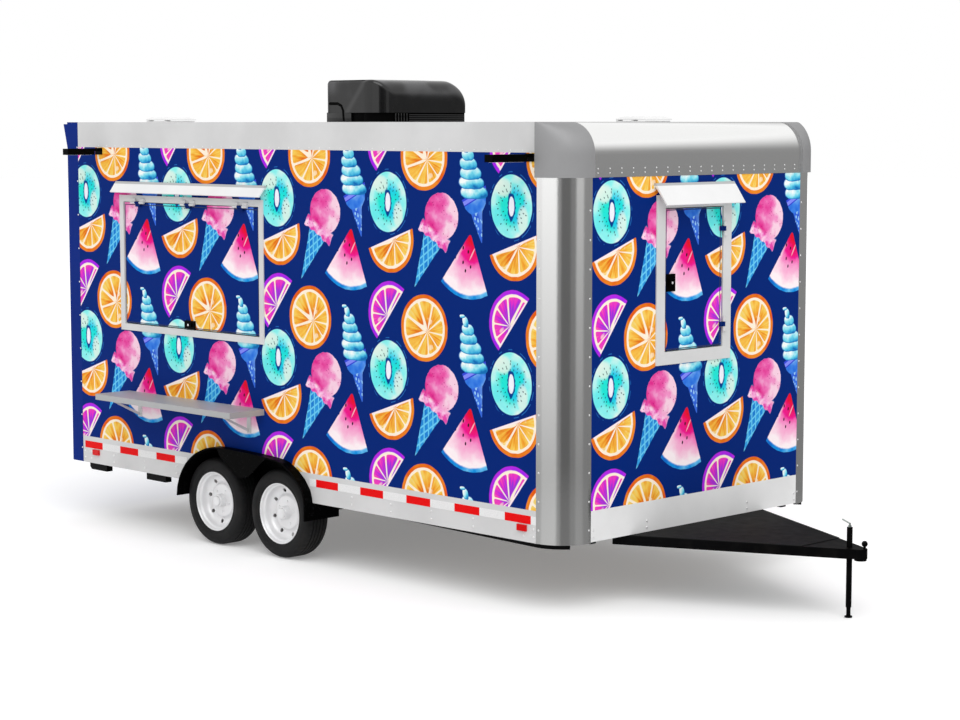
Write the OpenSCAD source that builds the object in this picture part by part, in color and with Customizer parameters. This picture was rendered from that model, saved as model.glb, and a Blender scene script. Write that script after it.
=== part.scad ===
// Tandem-axle food concession trailer, 8 by 16 foot body on an A-frame tongue.
// Millimetres. +X is forward, +Z is up, and the ground is z = 0.

/* [Body] */
// width across the side walls
body_w = 2440; // [2000:10:2600]
// length from the rear face to the front face
body_l = 4970; // [4100:10:6000]
// height of the roof
roof_z = 2898; // [2500:1:3400]
// height of the skirts' lower edge
skirt_z = 416; // [380:1:500]
// height where skirt and wall meet, and of the floor
wall_z = 610; // [560:1:760]
// height of the top rails along the sides
top_rail_h = 179; // [80:1:260]
// height of the nose cap over the front wall
nose_h = 323; // [240:1:420]
// thickness of every wall, rail and post
wall_t = 45; // [35:1:55]
// plan radius of the front corner posts
corner_r = 230; // [150:1:320]
// radius of the nose cap's front edge
nose_r = 190; // [80:1:230]
// how far the cast corner caps stand proud
cap_proud = 20; // [4:1:30]
// thickness of the floor
floor_t = 20; // [12:1:30]

/* [Running gear] */
// radius of a tyre
tyre_r = 300; // [280:1:380]
// width of a tyre
tyre_w = 200; // [150:1:240]
// radius of a rim
rim_r = 204.7; // [160:0.1:230]
// gap between the two tyres of a side
tyre_gap = 94; // [60:1:200]
// the axles' middle, as a share of the body's length from the front
axle_share = 0.595; // [0.5:0.005:0.65]
// side of a square axle beam
axle_s = 60; // [40:1:80]
// radius of a wheel spindle
spindle_r = 25; // [18:0.5:35]
// running clearance of spindles and hinge pins
play = 0.05; // [0.01:0.01:0.1]
// thickness of the fender steel
fender_t = 10; // [3:1:14]
// how far the fenders stand out from the wall
fender_out = 72; // [40:1:120]

/* [Chassis] */
// width of a main rail
rail_w = 50; // [40:1:80]
// height of a main rail
rail_h = 150; // [100:5:180]
// distance from a side wall's outer face to a main rail
rail_in = 275; // [270:5:400]
// drop of the outer frame below the skirts at the front
frame_drop = 25; // [10:1:40]
// length over which that drop grows
drop_l = 1370; // [600:10:1900]

/* [Tongue] */
// distance from the front face to the ball socket
tongue_l = 1227; // [1000:1:1600]
// half width of the A-frame at the front face
tongue_y = 646; // [500:1:800]
// height of the A-frame rails
tongue_h = 58; // [45:1:100]
// width of an A-frame rail across the trailer
tongue_w = 95; // [60:1:120]
// height of the A-frame's underside
tongue_z = 361; // [330:1:420]
// radius of the ball socket
socket_r = 26; // [25:0.5:31]
// distance from the ball socket back to the jack
jack_back = 79; // [70:1:110]
// outer radius of the jack's tube
jack_r = 17; // [15:1:30]
// thickness of the jack's tube
jack_t = 4; // [2:0.5:6]
// height of the jack's head
jack_h = 537; // [480:1:700]
// distance from the front face to the deck plate's edge
deck_x = 940; // [600:5:1000]
// thickness of the deck plate
deck_t = 4; // [2:1:8]

/* [Serving hatch] */
// distance from the rear face to the hatch's middle
hatch_x = 1440; // [1000:5:2400]
// width across the hatch frame
hatch_w = 1600; // [900:10:1800]
// lower edge of the hatch frame
hatch_z = 1425; // [1100:5:1500]
// height across the hatch frame
hatch_h = 960; // [700:10:1150]
// face width of the hatch frame
hatch_trim = 46; // [30:1:80]
// distance from the wall to the shelf's edge
shelf_d = 294; // [200:1:400]
// height of the shelf's top
shelf_z = 990; // [850:5:1150]

/* [Front door] */
// distance of the door's middle from the centre line
front_door_y = -68; // [-300:1:300]
// width across the door frame
front_door_w = 708; // [500:2:900]
// lower edge of the door frame
front_door_z = 1430; // [1000:5:1600]
// height across the door frame
front_door_h = 1030; // [600:5:1100]
// face width of the door frame
front_trim = 78; // [40:1:100]

/* [Rear doors] */
// width of a rear post
post_w = 110; // [90:1:200]
// length of the rear frame
rear_l = 132; // [110:1:200]
// height of the rear header
header_h = 208; // [150:1:300]
// how far the spoiler stands out behind
spoiler_d = 46; // [20:1:90]

/* [Roof] */
// width of the air conditioner across the trailer
ac_w = 840; // [500:10:900]
// length of the air conditioner along the trailer
ac_l = 550; // [450:10:900]
// height of the air conditioner
ac_h = 287; // [200:1:350]
// side of a roof vent
vent_s = 250; // [220:5:420]

/* [Lights] */
// reach of the front scene lights
light_out = 350; // [250:1:450]
// thickness of a scene light
light_t = 44; // [40:1:90]

/* [Fits] */
// gap around hinged panels
door_gap = 8; // [7:0.5:12]
// thickness of trim flanges
trim_t = 8; // [4:1:12]
// outer radius of a hinge barrel
barrel_r = 9; // [8:0.5:14]
// radius of a hinge pin
pin_r = 5; // [3:0.5:7]

/* [Output] */
// node to draw, or all

/* [Hidden] */
$fn = 64;

half_w = body_w / 2;
front_y = half_w - corner_r;
side_x = -body_l + rear_l;
rail_z = roof_z - top_rail_h;
nose_z = roof_z - nose_h;
inner_y = half_w - wall_t;
frame_z = skirt_z - frame_drop;
tip_r = socket_r + 14;
// the part is drawn from the front face and then moved so that its middle is at x = 0
mid_x = (body_l + spoiler_d - tongue_l - tip_r) / 2;

rail_y = half_w - rail_in;
coupler_x = tongue_l - 47;
tongue_slope = tongue_y / (tongue_l + 93);
tongue_top = tongue_z + tongue_h;
jack_x = tongue_l - jack_back;

axle_gap = 2 * tyre_r + tyre_gap;
axle_x = -axle_share * body_l;
wheel_x = [axle_x + axle_gap / 2, axle_x - axle_gap / 2];
wheel_y = half_w - tyre_w / 2;
well_y = half_w - tyre_w - 35;
spring_y = rail_y - rail_w / 2;
rail_low = wall_z - floor_t - 40 - rail_h;
// outline of the fenders around the axles' middle, for a 300 mm tyre
arch_k = tyre_r / 300;
arch_base = [[-668, 15], [-658, 85], [-636, 145], [-606, 197], [-562, 250], [-512, 293], [-456, 330],
  [-390, 358], [-330, 380], [-266, 393], [-190, 397], [-60, 396], [207, 388], [330, 381],
  [410, 375], [473, 362], [560, 318], [630, 262], [681, 198], [698, 150], [703, 112], [703, 0]];
arch_mid = 20;
arch = [for (p = arch_base) [axle_x + p[0] * arch_k, tyre_r + p[1] * arch_k]];
arch_in = [for (p = arch_base)
  [axle_x + arch_mid + (p[0] * arch_k - arch_mid) * (1 - fender_t / 700),
   tyre_r + p[1] * arch_k * (1 - fender_t / 391) - (p[1] < 20 ? 16 : 0)]];
well_in = 6;

hatch_mid = -body_l + hatch_x;
hatch_in_w = hatch_w - 2 * hatch_trim;
hatch_in_z = hatch_z + hatch_trim;
hatch_in_h = hatch_h - 2 * hatch_trim;
hatch_axis_y = -half_w - trim_t - barrel_r - 1;
hatch_axis_z = hatch_in_z + hatch_in_h - 4;
neck_t = 30;
stop_t = 15;

fd_in_w = front_door_w - 2 * front_trim;
fd_in_z = front_door_z + front_trim;
fd_in_h = front_door_h - 2 * front_trim;
fd_axis_x = trim_t + barrel_r + 1;
fd_axis_y = front_door_y + fd_in_w / 2;

rear_in = half_w - post_w;
rear_top = roof_z - header_h;
rear_axis_x = -body_l - barrel_r - 1;
panel_t = wall_t - 5;

shelf_mid = hatch_mid + 30;
shelf_w = hatch_w - 87;
bracket_x = [shelf_mid - shelf_w * 0.415, shelf_mid + shelf_w * 0.395];

ac_x = -0.553 * body_l;
vent_at = [[-0.175 * body_l, 450], [-0.905 * body_l, -640 * body_w / 2440]];
lid_t = 22;
curb_h = 14;

light_x = [-corner_r - 50, side_x + 260];
light_z = rail_z - 30;

// ---- helpers ----

module placed() {
  translate([mid_x, 0, 0]) children();
}

module both() {
  children();
  mirror([0, 1, 0]) children();
}

module block(a, b) {
  translate(a) cube(b - a);
}

module along_y(y0, y1) {
  translate([0, y1, 0]) rotate([90, 0, 0]) linear_extrude(y1 - y0) children();
}

module along_x(x0, x1) {
  translate([x0, 0, 0]) rotate([90, 0, 90]) linear_extrude(x1 - x0) children();
}

module round_box(l, w, h, r) {
  translate([0, 0, 0]) linear_extrude(h) {
    square([l - 2 * r, w], center = true);
    square([l, w - 2 * r], center = true);
    for (x = [-1, 1], y = [-1, 1]) {
      translate([x * (l / 2 - r), y * (w / 2 - r)]) circle(r);
    }
  }
}

// a rounded front edge in the XZ plane, filled back to x0
module nose_shape(x0, x1, z0, z1, r) {
  translate([x0, z0]) square([x1 - x0, z1 - r - z0]);
  translate([x0, z0]) square([x1 - r - x0, z1 - z0]);
  translate([x1 - r, z1 - r]) intersection() {
    circle(r);
    square(r + 1);
  }
}

// pin with its two outer barrels, along Z
module hinge_post(l) {
  cylinder(h = l, r = pin_r, center = true);
  for (s = [-1, 1]) {
    translate([0, 0, s * (l / 3 + 0.5)]) cylinder(h = l / 3 - 1, r = barrel_r, center = true);
  }
}

// middle barrel that turns on the pin, along Z
module hinge_eye(l) {
  cylinder(h = l / 3 - 1, r = barrel_r, center = true);
}

module hinge_bore(l) {
  cylinder(h = l / 3 + 1, r = pin_r + play, center = true);
}

module arch_cut(y0, y1) {
  both() along_y(y0, y1) polygon(arch);
}

// ---- tongue ----

module tongue_rail() {
  in_y = tongue_y - tongue_w;
  back_x = -wall_t - 50;
  hole_x = deck_x - 10;
  difference() {
    translate([0, 0, tongue_z]) linear_extrude(tongue_h) polygon([
      [back_x, tongue_y - tongue_slope * back_x],
      [coupler_x, tongue_y - tongue_slope * coupler_x],
      [coupler_x, 0],
      [hole_x, 0],
      [hole_x, in_y - tongue_slope * hole_x],
      [back_x, in_y - tongue_slope * back_x]
    ]);
    translate([jack_x, 0, 0]) cylinder(h = 1000, r = jack_r + 0.3);
  }
}

module tongue_rails() {
  color([0.02, 0.02, 0.02]) placed() both() tongue_rail();
}

module tongue_deck() {
  deck_y = tongue_y - tongue_slope * deck_x;
  color([0.12, 0.12, 0.12]) placed()
    translate([0, 0, tongue_top]) linear_extrude(deck_t) polygon([
      [0, -tongue_y], [deck_x, -deck_y], [deck_x, deck_y], [0, tongue_y]
    ]);
}

module coupler() {
  back_y = tongue_y - tongue_slope * coupler_x;
  knob_x = tongue_l + 28;
  color([0.03, 0.03, 0.03]) placed() difference() {
    union() {
      translate([0, 0, tongue_z]) linear_extrude(tongue_h) {
        polygon([[coupler_x, -back_y], [tongue_l, -tip_r], [tongue_l, tip_r], [coupler_x, back_y]]);
        translate([tongue_l, 0]) circle(tip_r);
      }
      translate([tongue_l, 0, tongue_z - 12]) cylinder(h = 12, r = tip_r - 4);
      translate([knob_x, 0, tongue_top]) cylinder(h = 20, r = 8);
      translate([knob_x, 0, tongue_top + 32]) sphere(18);
    }
    translate([tongue_l, 0, tongue_z - 13]) cylinder(h = 53, r = socket_r);
  }
}

module jack_tube() {
  in_r = jack_r - jack_t;
  color([0.03, 0.03, 0.03]) placed() translate([jack_x, 0, 0]) difference() {
    translate([0, 0, 60]) cylinder(h = jack_h - 60, r = jack_r);
    translate([0, 0, 59]) cylinder(h = 420, r = in_r);
  }
}

module jack_leg() {
  color([0.05, 0.05, 0.05]) placed() translate([jack_x, 0, 0]) {
    cylinder(h = 8, r = jack_r + 6);
    cylinder(h = 420, r = jack_r - jack_t - 0.3);
  }
}

module jack_crank() {
  color([0.45, 0.52, 0.48]) placed() translate([jack_x, 0, jack_h]) {
    cylinder(h = 12, r = 9);
    cylinder(h = 25, r = 5);
    translate([0, 0, 22]) rotate([0, -71, 0]) cylinder(h = 57, r = 4.5);
  }
}

// ---- chassis ----

module side_rail() {
  difference() {
    union() {
      block([side_x, inner_y - 50, skirt_z], [-corner_r, inner_y, wall_z - floor_t]);
      along_y(inner_y - 50, half_w - 8) polygon([
        [-corner_r - drop_l, skirt_z], [-corner_r, frame_z], [-corner_r, skirt_z]
      ]);
      translate([-corner_r, front_y, frame_z]) rotate([0, 0, 35]) rotate_extrude(angle = 55)
        translate([corner_r - 60, 0]) square([52, frame_drop]);
    }
    along_y(0, half_w + 10) polygon(arch);
  }
}

module chassis_rails() {
  hang_z = skirt_z - 58;
  color([0.03, 0.03, 0.03]) placed() both() {
    block([side_x, rail_y - rail_w, rail_low], [-wall_t, rail_y, rail_low + rail_h]);
    side_rail();
    along_y(inner_y - 50, inner_y) polygon([
      [side_x + 16, skirt_z], [side_x + 16, hang_z + 20], [side_x + 36, hang_z],
      [side_x + 226, hang_z], [side_x + 226, skirt_z]
    ]);
    block([side_x + 710, inner_y - 50, hang_z], [side_x + 935, inner_y, skirt_z]);
  }
}

module crossmembers() {
  z1 = wall_z - floor_t;
  z0 = z1 - 40;
  n = 11;
  reach = inner_y - 50;
  color([0.04, 0.04, 0.04]) placed() {
    for (i = [1 : n]) {
      x = side_x + (-wall_t - side_x) * i / (n + 1);
      near = abs(x - axle_x) < 800 * arch_k;
      y = near ? well_y - 14 : reach;
      block([x - 25, -y, z0], [x + 25, y, z1]);
    }
    block([-wall_t - 50, -rail_y + rail_w, tongue_z + tongue_h], [-wall_t, rail_y - rail_w, z1]);
    block([side_x, -rail_y + rail_w, rail_low], [side_x + 50, rail_y - rail_w, z1]);
  }
}

// ---- running gear ----

module axle(x) {
  translate([x, 0, tyre_r]) {
    cube([axle_s, 2 * (half_w - tyre_w - 8), axle_s], center = true);
    both() translate([-axle_s / 2 - 10, spring_y - 35, axle_s / 2]) cube([axle_s + 20, 70, 15]);
    rotate([90, 0, 0]) cylinder(h = 2 * (wheel_y + 15), r = spindle_r, center = true);
    both() translate([0, half_w - tyre_w - 2, 0]) rotate([90, 0, 0]) cylinder(h = 24, r = 55);
  }
}

module axles() {
  color([0.06, 0.06, 0.06]) placed() for (x = wheel_x) axle(x);
}

module spring(x) {
  z = tyre_r + axle_s / 2 + 15;
  half = axle_gap / 2 - 27;
  eye = rail_low - 22;
  along_y(spring_y - 23, spring_y + 23) polygon([
    [x - half, eye - 8], [x - half, eye + 8], [x - half / 2, z + 26], [x, z + 22],
    [x + half / 2, z + 26], [x + half, eye + 8], [x + half, eye - 8],
    [x + 90, z], [x - 90, z]
  ]);
  for (s = [-1, 1]) {
    block([x + s * half - 20, spring_y - 25, eye - 18], [x + s * half + 20, spring_y + 25, rail_low]);
  }
}

module leaf_springs() {
  color([0.07, 0.07, 0.07]) placed() both() for (x = wheel_x) spring(x);
}

module tyre(x, s) {
  w = tyre_w / 2;
  k = tyre_r - rim_r;
  color([0.03, 0.03, 0.03]) placed()
    translate([x, s * wheel_y, tyre_r]) rotate([-90 * s, 0, 0]) rotate_extrude($fn = 96)
      polygon([
        [rim_r + 0.3, -w * 0.8], [rim_r + k * 0.2, -w * 0.94], [rim_r + k * 0.5, -w],
        [rim_r + k * 0.8, -w * 0.93], [rim_r + k * 0.95, -w * 0.82], [tyre_r, -w * 0.7],
        [tyre_r, w * 0.7], [rim_r + k * 0.95, w * 0.82], [rim_r + k * 0.8, w * 0.93],
        [rim_r + k * 0.5, w], [rim_r + k * 0.2, w * 0.94], [rim_r + 0.3, w * 0.8]
      ]);
}

module rim(x, s) {
  w = tyre_w / 2;
  color([0.85, 0.85, 0.87]) placed()
    translate([x, s * wheel_y, tyre_r]) rotate([-90 * s, 0, 0]) difference() {
      union() {
        rotate_extrude($fn = 96) polygon([
          [rim_r - 9, -w * 0.85], [rim_r, -w * 0.85], [rim_r, w * 0.9], [rim_r - 9, w * 0.9],
          [rim_r - 9, 20], [rim_r - 50, 34], [70, 34], [60, 42], [0, 42], [0, 22],
          [rim_r - 54, 22], [rim_r - 9, 6]
        ]);
        translate([0, 0, -w * 0.62]) cylinder(h = w * 0.62 + 30, r = 62);
        translate([0, 0, 40]) cylinder(h = 40, r = 38);
        translate([0, 0, 40]) cylinder(h = 46, r = 32);
      }
      translate([0, 0, -w]) cylinder(h = w + 18, r = spindle_r + play);
      for (i = [0 : 7]) {
        rotate([0, 0, 45 * i]) translate([rim_r - 58, 0, 0]) cylinder(h = 60, r = 14);
      }
    }
}

module tyre_front_right() { tyre(wheel_x[0], -1); }
module tyre_front_left() { tyre(wheel_x[0], 1); }
module tyre_rear_right() { tyre(wheel_x[1], -1); }
module tyre_rear_left() { tyre(wheel_x[1], 1); }
module rim_front_right() { rim(wheel_x[0], -1); }
module rim_front_left() { rim(wheel_x[0], 1); }
module rim_rear_right() { rim(wheel_x[1], -1); }
module rim_rear_left() { rim(wheel_x[1], 1); }

// ---- body ----

module floor() {
  color([0.35, 0.27, 0.2]) placed() difference() {
    translate([0, 0, wall_z - floor_t]) linear_extrude(floor_t) {
      translate([side_x, -inner_y]) square([-corner_r - side_x, 2 * inner_y]);
      translate([side_x, -front_y]) square([-wall_t - side_x, 2 * front_y]);
      for (s = [-1, 1]) {
        translate([-corner_r, s * front_y]) circle(corner_r - wall_t);
      }
    }
    arch_cut(well_y, half_w);
  }
}

module side_panel() {
  block([side_x, inner_y, wall_z], [-corner_r, half_w, rail_z]);
}

module right_wall() {
  color([0.0, 0.16, 0.47]) placed() difference() {
    mirror([0, 1, 0]) side_panel();
    arch_cut(inner_y - 5, half_w + 5);
    hatch_hole(neck_t);
  }
}

module left_wall() {
  color([0.0, 0.16, 0.47]) placed() difference() {
    side_panel();
    arch_cut(inner_y - 5, half_w + 5);
  }
}

// the hatch frame's inner rectangle, grown by g, through the wall
module hatch_hole(g) {
  block([hatch_mid - hatch_in_w / 2 - g, -half_w - 20, hatch_in_z - g],
    [hatch_mid + hatch_in_w / 2 + g, -inner_y + 20, hatch_in_z + hatch_in_h + g]);
}

module front_hole(g) {
  block([-wall_t - 20, front_door_y - fd_in_w / 2 - g, fd_in_z - g],
    [20, front_door_y + fd_in_w / 2 + g, fd_in_z + fd_in_h + g]);
}

module front_wall() {
  color([0.0, 0.16, 0.47]) placed() difference() {
    block([-wall_t, -front_y, wall_z], [0, front_y, nose_z]);
    front_hole(neck_t);
  }
}

module roof() {
  color([0.85, 0.85, 0.85]) placed() difference() {
    block([side_x, -inner_y, roof_z - wall_t], [-corner_r, inner_y, roof_z]);
    for (v = vent_at) {
      translate([v[0], v[1], 0]) block([-vent_s / 2 + 30, -vent_s / 2 + 30, 0],
        [vent_s / 2 - 30, vent_s / 2 - 30, roof_z + 10]);
    }
  }
}

module nose_cap() {
  color([0.72, 0.72, 0.72]) placed() difference() {
    along_y(-front_y, front_y) nose_shape(-corner_r, 3, nose_z, roof_z, nose_r);
    along_y(-front_y - 1, front_y + 1)
      nose_shape(-corner_r - 1, -wall_t, nose_z - 1, roof_z - wall_t, nose_r - wall_t);
  }
}

module corner_cap() {
  r = corner_r + cap_proud;
  difference() {
    intersection() {
      translate([-corner_r, front_y, nose_z]) rotate_extrude(angle = 90) square([r, nose_h]);
      along_y(front_y - 10, half_w + cap_proud + 10)
        nose_shape(-corner_r - 10, cap_proud, nose_z - 10, roof_z, nose_r);
    }
    intersection() {
      translate([-corner_r - 1, front_y - 1, nose_z - 1])
        cylinder(h = nose_h - wall_t + 1, r = corner_r - wall_t);
      along_y(front_y - 1, half_w)
        nose_shape(-corner_r - 1, -wall_t, nose_z - 1, roof_z - wall_t, nose_r - wall_t);
    }
  }
}

module corner_caps() {
  color([0.6, 0.6, 0.6]) placed() both() corner_cap();
}

module corner_posts() {
  color([0.7, 0.7, 0.7]) placed() both()
    translate([-corner_r, front_y, skirt_z]) rotate_extrude(angle = 90)
      translate([corner_r - wall_t, 0]) square([wall_t, nose_z - skirt_z]);
}

module side_skirts() {
  color([0.82, 0.82, 0.82]) placed() difference() {
    both() block([side_x, inner_y, skirt_z], [-corner_r, half_w, wall_z]);
    arch_cut(inner_y - 5, half_w + 5);
  }
}

module top_rails() {
  color([0.83, 0.83, 0.83]) placed()
    both() block([side_x, inner_y, rail_z], [-corner_r, half_w, roof_z]);
}

module front_strip() {
  color([0.8, 0.8, 0.8]) placed() block([-wall_t, -front_y, skirt_z + 7], [0, front_y, wall_z]);
}

module fender() {
  lip_y = half_w + fender_out;
  difference() {
    along_y(well_y, lip_y) polygon(arch);
    along_y(well_y + well_in, lip_y + 1) polygon(arch_in);
    block([-body_l, well_y - 1, 0], [0, well_y + well_in + 1, skirt_z]);
  }
  // the apron that hangs between the tyres
  along_y(lip_y - 6, lip_y) translate([axle_x, tyre_r]) scale(arch_k) polygon([
    [-215, 392], [320, 379], [276, 352], [158, 260], [120, 232], [84, 220],
    [32, 215], [0, 226], [-13, 236], [-176, 335]
  ]);
}

module fenders() {
  color([0.03, 0.03, 0.03]) placed() both() fender();
}

// ---- rear ----

module rear_frame() {
  color([0.05, 0.17, 0.5]) placed() {
    difference() {
      block([-body_l, -half_w, skirt_z], [side_x, half_w, roof_z]);
      block([-body_l - 1, -rear_in, wall_z], [-body_l + wall_t + 5, rear_in, rear_top]);
      block([-body_l, -rear_in + 20, wall_z], [side_x + 1, rear_in - 20, rear_top - 20]);
    }
    along_y(-half_w, half_w) polygon([
      [-body_l, roof_z - 188], [-body_l - spoiler_d, roof_z - 14], [-body_l, roof_z - 14]
    ]);
    both() for (z = rear_hinge_z) rear_leaf(z);
  }
}

rear_hinge_z = [wall_z + 250, (wall_z + rear_top) / 2, rear_top - 250];
rear_hinge_l = 120;

module rear_leaf(z) {
  translate([rear_axis_x, rear_in, z]) hinge_post(rear_hinge_l);
  for (s = [-1, 1]) {
    block([-body_l - 7, rear_in, z + s * (rear_hinge_l / 3 + 0.5) - rear_hinge_l / 6 + 0.5],
      [-body_l, rear_in + 50, z + s * (rear_hinge_l / 3 + 0.5) + rear_hinge_l / 6 - 0.5]);
  }
}

module rear_door() {
  y0 = door_gap / 2;
  y1 = rear_in - 5;
  z0 = wall_z + door_gap;
  z1 = rear_top - door_gap;
  bar_y = 220;
  difference() {
    union() {
      block([-body_l, y0, z0], [-body_l + wall_t, y1, z1]);
      for (z = rear_hinge_z) {
        translate([rear_axis_x, rear_in, z]) hinge_eye(rear_hinge_l);
        block([-body_l - 7, rear_in - 60, z - rear_hinge_l / 6 + 0.5],
          [-body_l, rear_in - 4, z + rear_hinge_l / 6 - 0.5]);
        block([-body_l - 16, rear_in - 20, z - rear_hinge_l / 6 + 0.5],
          [-body_l - 6, rear_in, z + rear_hinge_l / 6 - 0.5]);
      }
      translate([-body_l - 24, bar_y, z0 + 20]) cylinder(h = z1 - z0 - 40, r = 11);
      for (z = [z0 + 60, wall_z + 700, z1 - 60]) {
        block([-body_l - 28, bar_y - 26, z - 22], [-body_l, bar_y + 26, z + 22]);
      }
      block([-body_l - 38, bar_y, wall_z + 585], [-body_l - 22, bar_y + 260, wall_z + 615]);
    }
    for (z = rear_hinge_z) translate([rear_axis_x, rear_in, z]) hinge_bore(rear_hinge_l);
  }
}

module rear_door_right() {
  color([0.05, 0.17, 0.5]) placed() mirror([0, 1, 0]) rear_door();
}

module rear_door_left() {
  color([0.05, 0.17, 0.5]) placed() rear_door();
}

// ---- serving hatch ----

hatch_hinge_x = [for (i = [-1, 0, 1]) hatch_mid + i * hatch_in_w * 0.38];
hatch_hinge_l = 150;

module hatch_ring(y0, y1, grow_out, grow_in) {
  difference() {
    block([hatch_mid - hatch_in_w / 2 - grow_out, y0, hatch_in_z - grow_out],
      [hatch_mid + hatch_in_w / 2 + grow_out, y1, hatch_in_z + hatch_in_h + grow_out]);
    hatch_hole(grow_in);
  }
}

module hatch_frame() {
  color([0.8, 0.8, 0.8]) placed() {
    hatch_ring(-half_w - trim_t, -half_w, hatch_trim, 0);
    hatch_ring(-half_w, -inner_y, neck_t, 0);
    hatch_ring(-inner_y, -inner_y + trim_t, neck_t, -stop_t);
    for (x = hatch_hinge_x) {
      translate([x, hatch_axis_y, hatch_axis_z]) rotate([0, 90, 0]) hinge_post(hatch_hinge_l);
      for (s = [-1, 1]) {
        block([x + s * (hatch_hinge_l / 3 + 0.5) - hatch_hinge_l / 6 + 0.5, hatch_axis_y,
            hatch_axis_z],
          [x + s * (hatch_hinge_l / 3 + 0.5) + hatch_hinge_l / 6 - 0.5, -half_w - trim_t,
            hatch_axis_z + 28]);
      }
    }
  }
}

module serving_hatch() {
  x0 = hatch_mid - hatch_in_w / 2 + door_gap;
  x1 = hatch_mid + hatch_in_w / 2 - door_gap;
  color([0.0, 0.16, 0.47]) placed() difference() {
    union() {
      block([x0, -half_w, hatch_in_z + door_gap], [x1, -half_w + panel_t, hatch_axis_z - 1]);
      for (x = hatch_hinge_x) {
        translate([x, hatch_axis_y, hatch_axis_z]) rotate([0, 90, 0]) hinge_eye(hatch_hinge_l);
        block([x - hatch_hinge_l / 6 + 0.5, hatch_axis_y, hatch_axis_z - 28],
          [x + hatch_hinge_l / 6 - 0.5, -half_w, hatch_axis_z - 1]);
      }
    }
    for (x = hatch_hinge_x) {
      translate([x, hatch_axis_y, hatch_axis_z]) rotate([0, 90, 0]) hinge_bore(hatch_hinge_l);
    }
  }
}

module hatch_latch() {
  z = hatch_in_z + door_gap;
  color([0.02, 0.02, 0.02]) placed() {
    block([hatch_mid - 55, -half_w - 14, z], [hatch_mid + 56, -half_w, z + 57]);
    block([hatch_mid - 30, -half_w - 26, z + 14], [hatch_mid + 30, -half_w - 13, z + 40]);
  }
}

// a strip on the wall with a flap that slopes out and down, drawn in YZ
module visor_shape(drop, out) {
  polygon([[0, 0], [-14, 0], [-out - 6, -drop + 4], [-out, -drop], [-8, -14], [-8, -26], [0, -26]]);
}

module visors() {
  hatch_top = hatch_z + hatch_h;
  color([0.95, 0.95, 0.95]) placed() {
    translate([0, -half_w, hatch_top + 96])
      along_x(hatch_mid - hatch_w / 2 - 33, hatch_mid + hatch_w / 2 + 32) visor_shape(78, 60);
    rotate([0, 0, 90]) translate([0, 0, front_door_z + front_door_h + 72])
      along_x(front_door_y - 377, front_door_y + 368) visor_shape(132, 100);
  }
}

module shelf() {
  color([0.58, 0.58, 0.58]) placed()
    block([shelf_mid - shelf_w / 2, -half_w - shelf_d, shelf_z - 40],
      [shelf_mid + shelf_w / 2, -half_w, shelf_z]);
}

module shelf_brackets() {
  color([0.75, 0.75, 0.75]) placed() for (x = bracket_x) {
    block([x - 20, -half_w - 6, shelf_z - 175], [x + 20, -half_w, shelf_z - 40]);
    along_x(x - 3, x + 3) polygon([
      [-half_w - 6, shelf_z - 168], [-half_w - 6, shelf_z - 148],
      [-half_w - shelf_d + 70, shelf_z - 40], [-half_w - shelf_d + 40, shelf_z - 40]
    ]);
  }
}

// ---- front door ----

fd_hinge_z = [for (i = [-1, 1]) fd_in_z + fd_in_h / 2 + i * fd_in_h * 0.34];
fd_hinge_l = 90;

module front_ring(x0, x1, side, below, above, grow_in) {
  difference() {
    block([x0, front_door_y - fd_in_w / 2 - side, fd_in_z - below],
      [x1, front_door_y + fd_in_w / 2 + side, fd_in_z + fd_in_h + above]);
    front_hole(grow_in);
  }
}

module front_door_frame() {
  color([0.8, 0.8, 0.8]) placed() {
    front_ring(0, trim_t, front_trim, front_trim, front_trim, 0);
    front_ring(-wall_t, 0, neck_t, neck_t, neck_t, 0);
    front_ring(-wall_t - trim_t, -wall_t, neck_t, neck_t, neck_t, -stop_t);
    for (z = fd_hinge_z) {
      translate([fd_axis_x, fd_axis_y, z]) hinge_post(fd_hinge_l);
      for (s = [-1, 1]) {
        block([trim_t, fd_axis_y, z + s * (fd_hinge_l / 3 + 0.5) - fd_hinge_l / 6 + 0.5],
          [fd_axis_x, fd_axis_y + 28, z + s * (fd_hinge_l / 3 + 0.5) + fd_hinge_l / 6 - 0.5]);
      }
    }
  }
}

module front_door() {
  y0 = front_door_y - fd_in_w / 2 + door_gap;
  color([0.0, 0.16, 0.47]) placed() difference() {
    union() {
      block([-panel_t, y0, fd_in_z + door_gap], [0, fd_axis_y - 5, fd_in_z + fd_in_h - door_gap]);
      for (z = fd_hinge_z) {
        translate([fd_axis_x, fd_axis_y, z]) hinge_eye(fd_hinge_l);
        block([0, fd_axis_y - 32, z - fd_hinge_l / 6 + 0.5],
          [fd_axis_x, fd_axis_y - 2, z + fd_hinge_l / 6 - 0.5]);
      }
    }
    for (z = fd_hinge_z) translate([fd_axis_x, fd_axis_y, z]) hinge_bore(fd_hinge_l);
  }
}

module front_door_latch() {
  y = front_door_y - fd_in_w / 2 + door_gap + 5;
  z = fd_in_z + fd_in_h * 0.42;
  color([0.02, 0.02, 0.02]) placed() {
    block([0, y, z], [14, y + 75, z + 107]);
    block([13, y + 12, z + 30], [24, y + 62, z + 78]);
  }
}

// ---- roof fittings ----

module ac_shape(w, h, r1, r2) {
  translate([-w / 2, 0]) square([w, h - max(r1, r2)]);
  translate([-w / 2 + r1, 0]) square([w - r1 - r2, h]);
  translate([-w / 2 + r1, h - r1]) intersection() {
    circle(r1);
    translate([-r1 - 1, 0]) square([r1 + 1, r1 + 1]);
  }
  translate([-w / 2, h - max(r1, r2) - 1]) square([r1, max(r1, r2) - r1 + 1]);
  translate([w / 2 - r2, h - r2]) intersection() {
    circle(r2);
    square(r2 + 1);
  }
}

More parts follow.
